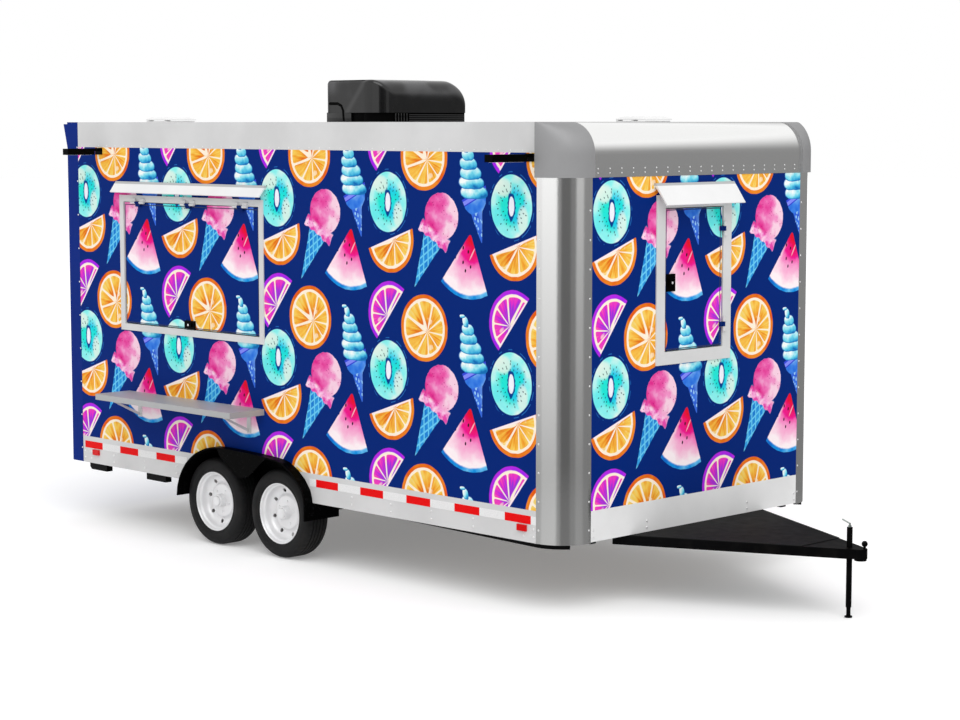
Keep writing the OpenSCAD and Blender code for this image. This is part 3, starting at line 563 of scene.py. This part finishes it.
castCap = paintedMetal("castAluminium", tint(152, 152, 153), 0.55, 0.30, 0.05, 90.0)
glossBlack = makeHoodPlastic()
matteBlack = paintedMetal("matteBlackPlastic", grey(3), 0.5, gloss=0.03)
rubber = paintedMetal("tyreRubber", tint(24, 24, 25), 0.66, grain=240.0, dirt=0.08, gloss=0.18)
rimEnamel = paintedMetal("rimEnamel", tint(236, 236, 237), 0.34, 0.35, 0.04, peel=0.06)
greySeal = paintedMetal("greySealRubber", tint(58, 64, 92), 0.6, grain=300.0, gloss=0.04)
clearLens = paintedMetal("clearLens", tint(214, 216, 218), 0.2, grain=90.0)
lensRed = paintedMetal("redLens", tint(214, 4, 8), 0.16, grain=60.0, gloss=0.15)
rivetSteel = paintedMetal("rivetSteel", grey(232), 0.3, 0.3, grain=60.0)
redTape = reflectiveTape("redReflectiveTape", tint(236, 4, 8))
whiteTape = reflectiveTape("whiteReflectiveTape", grey(236))

dress(paintedMetal("blackSteelPaint", tint(5, 5, 6), 0.46, dirt=0.04, gloss=0.06),
      "tongue_rails", "coupler", "jack_tube", "jack_leg", "chassis_rails", "crossmembers", "axles",
      "leaf_springs")
dress(makeFenderCoat(), "fenders")
dress(paintedMetal("deckPlatePaint", grey(30), 0.62, grain=320.0, gloss=0.04), "tongue_deck")
dress(rolledMetal("crankZinc", tint(186, 196, 190), 0.36), "jack_crank")
dress(rubber, *[n for n in nodes if n.startswith("tyre_")])
dress(rimEnamel, *[n for n in nodes if n.startswith("rim_")])
dress(paintedMetal("plywoodFloor", tint(160, 140, 115), 0.6), "floor")
dress(paintedMetal("lightGreyEnamel", grey(214), 0.42, gloss=0.12),
      "roof", "side_skirts", "top_rails", "hatch_frame", "front_door_frame", "shelf_brackets")
dress(paintedMetal("frontStripEnamel", grey(232), 0.42, gloss=0.12), "front_strip")
dress(rolledMetal("polishedAluminium", tint(246, 246, 245), 0.13, (60, 60, 1), smear=0.05),
      "nose_cap", "corner_posts")
dress(castCap, "corner_caps")
dress(paintedMetal("bluePaint", tint(4, 39, 124), 0.42, gloss=0.04),
      "rear_frame", "rear_door_right", "rear_door_left")
dress(makeVisorPaint(visorLook), "visors")
dress(paintedMetal("whitePlastic", grey(240), 0.55, grain=420.0),
      "roof_vents", "vent_lid_front", "vent_lid_rear")
dress(rolledMetal("brushedShelf", tint(172, 173, 174), 0.50, (1, 40, 1), 0.25), "shelf")
dress(glossBlack, "ac_unit")
dress(matteBlack, "hatch_latch", "front_door_latch", "scene_lights")
dress(lensRed, "lamps")
print("finishes made")


def makePiece(name, mesh, body, materials, replaces=(), crease=34):
    bmesh.ops.recalc_face_normals(mesh, faces=mesh.faces[:])
    data = newMesh(name, mesh)
    for material in materials:
        data.materials.append(material)
    data.polygons.foreach_set("use_smooth", [True] * len(data.polygons))
    data.set_sharp_from_angle(angle=radians(crease))
    piece = newObject(name, data)
    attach(piece, body)
    if replaces:
        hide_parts(*replaces)
    return piece


def addGrid(mesh, rows, loop=False, tone=0):
    # quads between rows of points; loop joins each row's end to its start
    made = [[mesh.verts.new(point) for point in row] for row in rows]
    for one, two in zip(made, made[1:]):
        for i in range(len(one) - (0 if loop else 1)):
            k = (i + 1) % len(one)
            mesh.faces.new((one[i], one[k], two[k], two[i])).material_index = tone
    return made


def addBox(mesh, low, high, edge=0.002, tone=0, steps=2):
    # a block with rounded edges
    before = set(mesh.faces)
    size = [b - a for a, b in zip(low, high)]
    middle = [(a + b) / 2 for a, b in zip(low, high)]
    place = Matrix.Translation(middle) @ Matrix.Diagonal((*size, 1.0))
    corners = bmesh.ops.create_cube(mesh, size=1.0, matrix=place)["verts"]
    rim = list({line for corner in corners for line in corner.link_edges})
    bmesh.ops.bevel(mesh, geom=rim + corners, offset=edge, segments=steps, profile=0.5, affect="EDGES")
    for face in mesh.faces:
        if face not in before:
            face.material_index = tone


def addDome(mesh, place, ahead, radius, height, sides=8):
    # rivet or bolt head standing on a surface
    turnTo = Vector((0, 0, 1)).rotation_difference(Vector(ahead)).to_matrix()
    rows = []
    for share, rise in ((1.0, -0.1), (0.92, 0.35), (0.62, 0.82)):
        size = radius * share
        rows.append([Vector(place) + turnTo @ Vector((size * cos(a), size * sin(a), height * rise))
                     for a in [tau * i / sides for i in range(sides)]])
    made = addGrid(mesh, rows, True)
    top = mesh.verts.new(Vector(place) + turnTo @ Vector((0, 0, height)))
    for i in range(sides):
        mesh.faces.new((made[-1][i], made[-1][(i + 1) % sides], top))


def addTube(mesh, points, radius, sides=12, tone=0):
    points = [Vector(p) for p in points]
    rows = []
    up = None
    for i, point in enumerate(points):
        ahead = (points[min(i + 1, len(points) - 1)] - points[max(i - 1, 0)]).normalized()
        if up is None:
            up = ahead.orthogonal().normalized()
        up = (up - ahead * up.dot(ahead)).normalized()
        across = ahead.cross(up)
        rows.append([point + (up * cos(a) + across * sin(a)) * radius
                     for a in [tau * k / sides for k in range(sides)]])
    made = addGrid(mesh, rows, True, tone)
    for row in (made[0], made[-1]):
        mesh.faces.new(row).material_index = tone


def addLathe(mesh, profile, steps, loop=False):
    # profile of (radius, depth) turned around the Y axis; depth runs inwards from the outer face
    made = []
    for k in range(steps):
        a = tau * k / steps
        made.append([mesh.verts.new((r * cos(a), d, r * sin(a))) for r, d in profile if r > 1e-6])
    count = len(made[0])
    for k in range(steps):
        one, two = made[k], made[(k + 1) % steps]
        for i in range(count if loop else count - 1):
            j = (i + 1) % count
            mesh.faces.new((one[i], one[j], two[j], two[i]))
    for end, at in ((0, profile[0]), (-1, profile[-1])):
        if at[0] <= 1e-6:
            middle = mesh.verts.new((0, at[1], 0))
            for k in range(steps):
                mesh.faces.new((made[k][end], made[(k + 1) % steps][end], middle))


wheelShape = {
    "steps": 96,
    "outerFace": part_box("tyre_front_right")[0].y,
    "radius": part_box("tyre_front_right")[1].z / 2,
    "width": 0.2, "treadRadius": 0.29985,
    "grooves": (0.058, 0.086, 0.114, 0.142),
    "grooveDepth": 0.006, "grooveTop": 0.0045, "grooveFoot": 0.0032,  # half widths
    "shoulder": (0.2955, 0.05), "shoulderCut": 0.990,
    # profiles are pairs of radius and depth from the outer face
    "sidewall": [(0.1998, 0.021), (0.2042, 0.012), (0.212, 0.0066), (0.223, 0.0024), (0.2262, 0.0034),
                 (0.229, 0.0012), (0.252, 0.0002), (0.27, 0.0028), (0.2735, 0.0046), (0.2765, 0.0046),
                 (0.285, 0.0098), (0.2915, 0.018), (0.296, 0.027), (0.2986, 0.037), (0.2994, 0.04)],
    "liner": [(0.201, 0.172), (0.26, 0.176), (0.286, 0.15), (0.286, 0.05), (0.26, 0.024)],
    "rim": [(0.0, 0.0165), (0.012, 0.0166), (0.024, 0.0172), (0.033, 0.0186), (0.0356, 0.0215),
            (0.0362, 0.03), (0.0366, 0.0345), (0.043, 0.0356), (0.0452, 0.0385), (0.046, 0.072),
            (0.0475, 0.0746), (0.052, 0.0752), (0.104, 0.0752), (0.109, 0.0758), (0.113, 0.0782),
            (0.117, 0.085), (0.123, 0.094), (0.131, 0.098), (0.14, 0.0975), (0.16, 0.09), (0.169, 0.083),
            (0.175, 0.074), (0.1782, 0.065), (0.18, 0.048), (0.1812, 0.04), (0.184, 0.0366),
            (0.1885, 0.035), (0.1915, 0.032), (0.1935, 0.025), (0.1955, 0.017), (0.1985, 0.012),
            (0.2015, 0.0102), (0.204, 0.0108), (0.2047, 0.0135), (0.203, 0.018), (0.199, 0.023),
            (0.1965, 0.04), (0.187, 0.056), (0.1868, 0.148), (0.193, 0.162), (0.199, 0.179),
            (0.204, 0.18), (0.2046, 0.183), (0.201, 0.1848), (0.196, 0.18), (0.188, 0.17), (0.1812, 0.15),
            (0.1805, 0.092), (0.17, 0.091), (0.16, 0.096), (0.14, 0.103), (0.13, 0.103), (0.12, 0.098),
            (0.112, 0.086), (0.064, 0.083), (0.062, 0.087), (0.062, 0.158), (0.06, 0.16), (0.026, 0.16),
            (0.0254, 0.159), (0.0254, 0.083), (0.0, 0.0828)],
    "holes": 8, "holeCircle": 0.1510, "holeRadius": 0.0135,
    "nuts": 5, "nutCircle": 0.078, "nutRadius": 0.0085,
    "turned": {"front": 7, "rear": 31},  # degrees each wheel has stopped at
}


def makeWheels(shape):
    tread, top, foot = [], shape["grooveTop"], shape["grooveFoot"]
    outside, inside = shape["treadRadius"], shape["treadRadius"] - shape["grooveDepth"]
    for groove in shape["grooves"]:
        tread += [(outside, groove - top), (inside, groove - foot),
                  (inside, groove + foot), (outside, groove + top)]
    inner = [(r, shape["width"] - d) for r, d in reversed(shape["sidewall"])]
    profile = shape["sidewall"] + [(0.2999, 0.048)] + tread + [(0.2999, 0.152)] + inner + shape["liner"]
    tyre = bmesh.new()
    addLathe(tyre, profile, shape["steps"] * 2, True)
    for vert in tyre.verts:  # cross cuts in the shoulder blocks
        r = hypot(vert.co.x, vert.co.z)
        nearEdge = min(vert.co.y, shape["width"] - vert.co.y)
        step = round(atan2(vert.co.z, vert.co.x) / tau * shape["steps"] * 2)
        if r > shape["shoulder"][0] and nearEdge < shape["shoulder"][1] and step % 4 == 0:
            vert.co.x *= shape["shoulderCut"]
            vert.co.z *= shape["shoulderCut"]
    rim = bmesh.new()
    addLathe(rim, shape["rim"], shape["steps"])
    for i in range(shape["nuts"]):
        a = tau * (i + 0.25) / shape["nuts"]
        at = (shape["nutCircle"] * cos(a), 0.0754, shape["nutCircle"] * sin(a))
        addDome(rim, at, (0, -1, 0), shape["nutRadius"], 0.007, 6)
    bmesh.ops.recalc_face_normals(rim, faces=rim.faces[:])
    rimBase, tyreBase = newMesh("rimBase", rim), newMesh("tyreBase", tyre)
    cutters = bmesh.new()
    for i in range(shape["holes"]):
        a = tau * (i + 0.5) / shape["holes"]
        at = Matrix.Translation((shape["holeCircle"] * cos(a), 0.09, shape["holeCircle"] * sin(a)))
        bmesh.ops.create_cone(cutters, cap_ends=True, segments=20, radius1=shape["holeRadius"],
                              radius2=shape["holeRadius"], depth=0.05,
                              matrix=at @ Matrix.Rotation(pi / 2, 4, "X"))
    block, cutter = newObject("rimBlock", rimBase), newObject("rimCutter", newMesh("rimHoles", cutters))
    cut = block.modifiers.new("holes", "BOOLEAN")
    cut.object, cut.operation, cut.solver = cutter, "DIFFERENCE", "EXACT"
    rimBase = bpy.data.meshes.new_from_object(block.evaluated_get(bpy.context.evaluated_depsgraph_get()))
    for part in (block, cutter):
        bpy.data.objects.remove(part)
    for end in ("front", "rear"):
        for side in ("right", "left"):
            low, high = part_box(f"tyre_{end}_{side}")
            sign = -1 if side == "right" else 1
            place = Matrix.Translation(((low.x + high.x) / 2, sign * -shape["outerFace"], shape["radius"]))
            turned = Matrix.Rotation(radians(shape["turned"][end]), 4, "Y")
            place = place @ Matrix.Diagonal((1, -sign, 1, 1)) @ turned
            for kind, base, look in (("tyre", tyreBase, rubber), ("rim", rimBase, rimEnamel)):
                mesh = bmesh.new()
                mesh.from_mesh(base)
                mesh.transform(place)
                name = f"{kind}_{end}_{side}"
                makePiece(name + "_detail", mesh, f"wheel_{end}_{side}", [look], [name], 40)


makeWheels(wheelShape)
print("wheels made")

fixings = {
    "rivetRadius": 0.0065, "rivetHeight": 0.0026,
    "postPitch": 0.1715, "postStart": 0.497,
    "trimPitch": 0.101, "trimHeight": 2.732,
    "nosePitch": 0.104, "noseHeights": (2.626, 2.600),
    "boltRadius": 0.0085, "boltHeight": 0.0045,
    "skirtPitch": 0.37, "skirtFirst": frontX - 4.458, "skirtHeights": (0.499, 0.451),
    "skirtRear": (0.279, 0.355), "skirtFront": (0.10, 0.02),  # extra bolts towards each end
    "stripPlaces": (-0.97, -0.485, 0.485, 0.97), "stripHeights": (0.490, 0.450),
    "rearPitch": 0.244, "rearStart": 0.52,
}


def spread(start, end, pitch):
    count = int((end - start) / pitch + 1e-6) + 1
    return [start + i * pitch for i in range(count)]


def makeFixings(look):
    rivets, bolts = bmesh.new(), bmesh.new()
    radius, height = look["rivetRadius"], look["rivetHeight"]
    bolt = look["boltRadius"], look["boltHeight"], 10
    postLow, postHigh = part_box("corner_posts")
    bend = postHigh.x - postLow.x
    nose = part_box("nose_cap")
    railLow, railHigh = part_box("top_rails")
    archLow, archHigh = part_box("fenders")
    for sign in (-1, 1):
        for degree in (5.0, 86.0):
            s, c = sin(radians(degree)), cos(radians(degree))
            x, y = postLow.x + bend * s, sideY - bend + bend * c
            for z in spread(look["postStart"], postHigh.z - 0.03, look["postPitch"]):
                addDome(rivets, (x, sign * y, z), (s, sign * c, 0), radius, height)
        for x in spread(railLow.x + 0.05, railHigh.x - 0.03, look["trimPitch"]):
            addDome(rivets, (x, sign * sideY, look["trimHeight"]), (0, sign, 0), radius * 0.8, height)
        for z in spread(look["rearStart"], railHigh.z - 0.1, look["rearPitch"]):
            addDome(rivets, (railLow.x - 0.012, sign * sideY, z), (0, sign, 0), radius, height)
        first = look["skirtFirst"]
        places = spread(first, railHigh.x - 0.25, look["skirtPitch"])
        places += [first - gap for gap in look["skirtRear"]]
        places += [railHigh.x - gap for gap in look["skirtFront"]]
        for x in places:
            if archLow.x - 0.02 < x < archHigh.x + 0.02:
                continue
            for z in look["skirtHeights"]:
                addDome(bolts, (x, sign * sideY, z), (0, sign, 0), *bolt)
    for z in look["noseHeights"]:
        for y in spread(nose[0].y + 0.044, nose[1].y - 0.03, look["nosePitch"]):
            addDome(rivets, (nose[1].x, y, z), (1, 0, 0), radius * 0.8, height)
    for y in look["stripPlaces"]:
        for z in look["stripHeights"]:
            addDome(bolts, (frontX, y, z), (1, 0, 0), *bolt)
    makePiece("rivets", rivets, "trailer", [rivetSteel], crease=80)
    makePiece("bolt_heads", bolts, "trailer", [rivetSteel], crease=80)


makeFixings(fixings)

tape = {
    "low": 0.525, "high": 0.575, "redLength": 0.217, "pitch": 0.4325,
    "firstRed": frontX - 4.813, "proud": 0.0009,
}


def makeTape(look):
    mesh = bmesh.new()
    archLow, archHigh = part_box("fenders")
    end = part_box("side_skirts")[1].x
    for sign in (-1, 1):
        for x in spread(look["firstRed"], end, look["pitch"]):
            middle = min(x + look["redLength"], end)
            for tone, start, stop in ((0, x, middle), (1, middle, min(x + look["pitch"], end))):
                spans = [(start, stop)]
                if stop > archLow.x and start < archHigh.x:  # the fender covers this stretch
                    spans = [(start, min(stop, archLow.x + 0.03)), (max(start, archHigh.x - 0.03), stop)]
                for a, b in spans:
                    if b - a > 0.004:
                        y = sorted((sign * (sideY - 0.0005), sign * (sideY + look["proud"])))
                        addBox(mesh, (a, y[0], look["low"]), (b, y[1], look["high"]), 0.0003, tone, 1)
    makePiece("reflective_tape", mesh, "trailer", [redTape, whiteTape])


makeTape(tape)
print("fixings and tape made")

hood = {
    # radii of the bends, seen along the trailer and from above
    "backBend": 0.024, "frontBend": 0.150, "endBend": 0.040, "noseBend": 0.150, "browBend": 0.110,
    "splitHeight": 0.064, "bulge": 0.010,
    "creaseLow": frontX - 2.767, "creaseLean": 0.155,
    # hook-shaped slot: from the front wall, and up from the roof
    "slot": [(-3.000, 0.127), (-2.905, 0.126), (-2.868, 0.112), (-2.850, 0.080), (-2.842, 0.004)],
    "slats": 4, "ribs": 5,
}


def makeHood(look):
    low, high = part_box("ac_unit")
    split = low.z + look["splitHeight"]
    mesh = bmesh.new()
    right, left, top = low.y, high.y, high.z
    backBend, frontBend = look["backBend"], look["frontBend"]
    # across, up, and how far it faces left
    outline = [(right, split + (top - backBend - split) * i / 14, -1) for i in range(15)]
    for i in range(1, 9):
        s, c = sin(radians(90 * i / 8)), cos(radians(90 * i / 8))
        outline.append((right + backBend * (1 - c), top - backBend * (1 - s), -c))
    flat = left - frontBend - right - backBend
    outline += [(right + backBend + flat * i / 24, top, 0) for i in range(1, 25)]
    for i in range(1, 17):
        s, c = sin(radians(90 * i / 16)), cos(radians(90 * i / 16))
        outline.append((left - frontBend * (1 - s), top - frontBend * (1 - c), s))
    outline.append((left, split, 1))

    def inset(distance, bend):
        return bend - sqrt(max(0.0, bend * bend - (bend - min(distance, bend)) ** 2))

    rows = []
    length = high.x - low.x
    sections = [(0.0, 0.02), (0.0, 0.01)]  # end rings keep the flat ends crisp
    sections += [(along, 0.0) for along in (0.0, 0.003, 0.008, 0.016, 0.027, 0.040)]
    straight = length - look["endBend"] - look["noseBend"]
    sections += [(look["endBend"] + straight * i / 26, 0.0) for i in range(1, 27)]
    sections += [(length - look["noseBend"] * (1 - sin(radians(5 * i))), 0.0) for i in range(1, 19)]
    sections += [(length, 0.01), (length, 0.02)]
    for along, extra in sections:
        front = length - along
        row = []
        for y, z, ny in outline:
            crease = (low.x + along - look["creaseLow"]) / look["creaseLean"] - (z - split - 0.045) / 0.18
            dented = ny < -0.5 and along > 0.03
            dent = look["bulge"] * max(0.0, min(1.0, 0.5 - crease * 2.5)) if dented else 0.0
            backIn = inset(along, look["endBend"]) + extra
            rightIn = backIn + inset(front, look["noseBend"])
            leftIn = backIn + inset(front, look["endBend"])
            brow = backIn + inset(front, look["browBend"])
            wide = left - right - rightIn - leftIn - dent
            row.append((low.x + along, right + rightIn + dent + wide * (y - right) / (left - right),
                        split + (z - split) * (top - brow - split) / (top - split)))
        rows.append(row)
    made = addGrid(mesh, rows)
    for row in (made[0], made[-1]):
        mesh.faces.new(row)
    mesh.faces.new([row[0] for row in made] + [row[-1] for row in reversed(made)])
    corner = look["noseBend"] + 0.004
    face, foot = low.y + look["bulge"], low.z - 0.0005
    addBox(mesh, (low.x + 0.001, face, foot), (look["creaseLow"], high.y - 0.004, split + 0.002), 0.004)
    addBox(mesh, (look["creaseLow"] - 0.01, face + 0.012, foot),
           (high.x - corner, high.y - 0.012, split + 0.001), 0.002, 1)
    addBox(mesh, (high.x - corner - 0.01, low.y + corner, foot),
           (high.x - 0.018, high.y - 0.012, split + 0.001), 0.002, 1)
    middle = (high.x - corner, low.y + corner)
    addTube(mesh, [(*middle, low.z), (*middle, split)], corner - 0.020, 48, 1)
    for i in range(look["slats"]):  # louvres over the outlet
        z = low.z + 0.006 + i * (look["splitHeight"] - 0.010) / look["slats"]
        addBox(mesh, (high.x - 0.024, low.y + 0.285, z), (high.x - 0.006, high.y - 0.026, z + 0.007), 0.0015)
    for i in range(look["ribs"]):  # upright ribs beside them
        y = low.y + corner + 0.004 + i * 0.026
        addBox(mesh, (high.x - 0.024, y, low.z + 0.002), (high.x - 0.008, y + 0.010, split - 0.003))
    slot = [(frontX + x, face + 0.005, low.z + z) for x, z in look["slot"]]
    addTube(mesh, slot, 0.0115, 10, 1)
    makePiece("roof_ac_hood", mesh, "trailer", [glossBlack, matteBlack], ["ac_unit"], 30)


makeHood(hood)
print("roof unit made")

capShell = {"steps": 28, "levels": 26, "thickness": 0.045, "bend": 0.190}


def makeCaps(look):
    # cast corner caps: the vertical bend runs out smoothly into the roof
    low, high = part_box("corner_caps")
    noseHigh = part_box("nose_cap")[1]
    reach = high.x - low.x  # plan radius
    across = high.y - noseHigh.y
    bend = look["bend"]
    angles = [radians(90 * k / look["steps"]) for k in range(look["steps"] + 1)]
    heights = [low.z + (high.z - bend - low.z) * i / 6 for i in range(7)]
    heights += [high.z - bend + bend * sin(radians(90 * i / look["levels"]))
                for i in range(1, look["levels"] + 1)]
    mesh = bmesh.new()
    for sign in (-1, 1):
        rows = []
        for inner in (0.0, look["thickness"]):
            part = []
            for z in heights:
                lift = max(0.0, z - (high.z - bend))
                front = reach - (bend - sqrt(max(0.0, bend * bend - lift * lift))) - inner
                side = across - inner * (0.2 if lift > 0 else 1.0)
                z = min(z, high.z - inner)
                part.append([(low.x + front * sin(a), sign * (noseHigh.y + side * cos(a)), z)
                             for a in angles])
            rows.append(part)
        outer, inside = rows
        outer.append([(low.x, sign * noseHigh.y, high.z)] * len(angles))
        made = addGrid(mesh, outer)
        lining = addGrid(mesh, inside)
        for i in range(look["steps"]):
            mesh.faces.new((made[0][i], made[0][i + 1], lining[0][i + 1], lining[0][i]))
        for end in (0, -1):  # close the two upright edges
            for k in range(len(lining) - 1):
                mesh.faces.new((made[k][end], made[k + 1][end], lining[k + 1][end], lining[k][end]))
            mesh.faces.new((made[-2][end], made[-1][end], lining[-1][end]))
    bmesh.ops.remove_doubles(mesh, verts=mesh.verts, dist=0.00002)
    makePiece("corner_cap_shells", mesh, "trailer", [castCap], ["corner_caps"], 40)


makeCaps(capShell)
print("corner caps made")

smallParts = {
    "seal": 0.0030, "sealInset": 0.006, "sealSunk": 0.0006,
    "hatchTop": 0.060, "doorSide": 0.094,  # from the outer edge of each frame
    "lensWidth": 0.034, "lensDepth": 0.004, "lensEnd": 0.020,
    "lensFoot": 0.075, "lensFront": 0.05, "lensRear": 0.04,
    "lockRadius": 0.0085, "lockHeight": 0.0018,
}


def makeSmallParts(look):
    # rubber seals round the hinged panels
    for name in ("serving_hatch", "front_door"):
        low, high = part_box(name)
        d, sunk = look["sealInset"], look["sealSunk"]
        if name == "serving_hatch":
            a0, a1, b0, b1 = low.x, high.x, low.z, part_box("hatch_frame")[1].z - look["hatchTop"]
        else:
            a0, a1, b0, b1 = low.y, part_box("front_door_frame")[1].y - look["doorSide"], low.z, high.z
        corners = [(a0 + d, b0 + d), (a1 - d, b0 + d), (a1 - d, b1 - d), (a0 + d, b1 - d)]
        if name == "serving_hatch":
            corners = [(a, sunk - sideY, b) for a, b in corners]
        else:
            corners = [(frontX - sunk, a, b) for a, b in corners]
        mesh = bmesh.new()
        for ends in zip(corners, corners[1:] + corners[:1]):
            addTube(mesh, ends, look["seal"], 8)
        makePiece(name + "_seal", mesh, name, [greySeal])
    # clear lenses under the scene lights
    mesh = bmesh.new()
    lightLow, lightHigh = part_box("scene_lights")
    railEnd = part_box("side_skirts")[1].x
    half, end, foot = look["lensWidth"] / 2, look["lensEnd"], sideY + look["lensFoot"]
    front, rear = railEnd - look["lensFront"], lightLow.x + look["lensRear"]
    for x, y0, y1 in ((front, lightLow.y + end, -foot), (rear, end - lightHigh.y, -foot),
                      (rear, foot, lightHigh.y - end)):
        addBox(mesh, (x - half, y0, lightLow.z - 0.0015),
               (x + half, y1, lightLow.z + look["lensDepth"]), 0.0012)
    makePiece("scene_light_lenses", mesh, "trailer", [clearLens])
    # key cylinders in the two latches
    for name, body, ahead in (("hatch_latch", "serving_hatch", (0, -1, 0)),
                              ("front_door_latch", "front_door", (1, 0, 0))):
        low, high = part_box(name)
        mesh = bmesh.new()
        middle = (low + high) / 2
        at = (middle.x, low.y + 0.0002, middle.z) if ahead[1] else (high.x - 0.0002, middle.y, middle.z)
        addDome(mesh, at, ahead, look["lockRadius"], look["lockHeight"], 20)
        makePiece(name + "_key", mesh, body, [rivetSteel])


makeSmallParts(smallParts)
print("small parts made")

studio = {
    "floor": grey(244), "floorLift": 0.215, "skyLight": 0.78, "sun": 1.25, "sunSoft": 50,
    "sunAim": (-0.52, 0.42, -0.74),
    "cardCentre": (frontX - 0.23, 0.23 - sideY, 0), "cardSteps": 16,
    "cardNear": 0.9, "cardReach": 5.0, "cardTop": 5.3, "cardFade": 2.9,
    # start and end angle of each card, and its brightness at the foot and at cardFade
    "cards": [(-150, -112, 0.32, 1.0), (-112, -65, 0.42, 1.1), (-65, -54, 0.21, 0.27),
              (-54, -26, 0.10, 0.11), (-26, -10, 0.165, 0.185), (-10, 14, 0.23, 0.56),
              (14, 136, 0.18, 0.25)],
}


def seenByEye(tree):
    # 1 for what the camera sees directly, in a reflection or through glass
    rays = tree.nodes.new("ShaderNodeLightPath").outputs
    eye, mirror, glass = [surfaceNumber(tree, rays[f"Is {kind} Ray"])
                          for kind in ("Camera", "Glossy", "Transmission")]
    return eye.most(mirror).most(glass)


def makeFloor(setup):
    mesh = bpy.data.meshes.new("floorPlane")
    mesh.from_pydata([(-90, -90, 0), (90, -90, 0), (90, 90, 0), (-90, 90, 0)], [], [(0, 1, 2, 3)])
    floor = newObject("studioFloor", mesh)
    floor.location.z = -0.002
    mat = finish("studioFloorPaint")
    mat.surface(Base_Color=setup["floor"], Roughness=0.9, Specular_IOR_Level=0.0,
                Emission_Color=(1, 1, 1, 1), Emission_Strength=seenByEye(mat.tree) * setup["floorLift"])
    mesh.materials.append(mat.material)


def makeLight(setup):
    world = bpy.data.worlds.new("studioSky")
    bpy.context.scene.world = world
    world.use_nodes = True
    tree = world.node_tree
    back = tree.nodes["Background"]
    back.inputs["Color"].default_value = (1, 1, 1, 1)
    feed(tree, back.inputs["Strength"], seenByEye(tree) * (1.0 - setup["skyLight"]) + setup["skyLight"])
    sun = bpy.data.lights.new("key", "SUN")
    sun.energy, sun.angle = setup["sun"], radians(setup["sunSoft"])
    aim(newObject("key", sun), Vector(setup["sunAim"]))


def makeCards(setup):
    # curved cards that only reflections see, to give the bright metal something to mirror
    centre, steps = Vector(setup["cardCentre"]), setup["cardSteps"]
    for start, end, lowTone, highTone in setup["cards"]:
        mesh = bmesh.new()
        angles = [radians(start + (end - start) * i / steps) for i in range(steps + 1)]
        heights = (0.001, 0.001, setup["cardFade"], setup["cardTop"])
        reaches = setup["cardNear"], *[setup["cardReach"]] * 3  # its foot runs in along the floor
        rows = [[centre + Vector((reach * cos(a), reach * sin(a), z)) for a in angles]
                for reach, z in zip(reaches, heights)]
        addGrid(mesh, rows)
        data = newMesh("card", mesh)
        card = newObject("studioCard", data)
        card.visible_camera = card.visible_diffuse = card.visible_shadow = card.visible_transmission = False
        mat = finish("studioCardTone")
        z = mat.place()[2]
        share = z.rise(setup["cardFade"], setup["cardTop"])
        level = z * ((highTone - lowTone) / setup["cardFade"]) + lowTone
        mat.surface(Base_Color=(0, 0, 0, 1), Emission_Color=(1, 1, 1, 1),
                    Emission_Strength=share * (level * -1.0 + 1.0) + level)
        data.materials.append(mat.material)


makeFloor(studio)
makeLight(studio)
makeCards(studio)
print("floor and light ready")
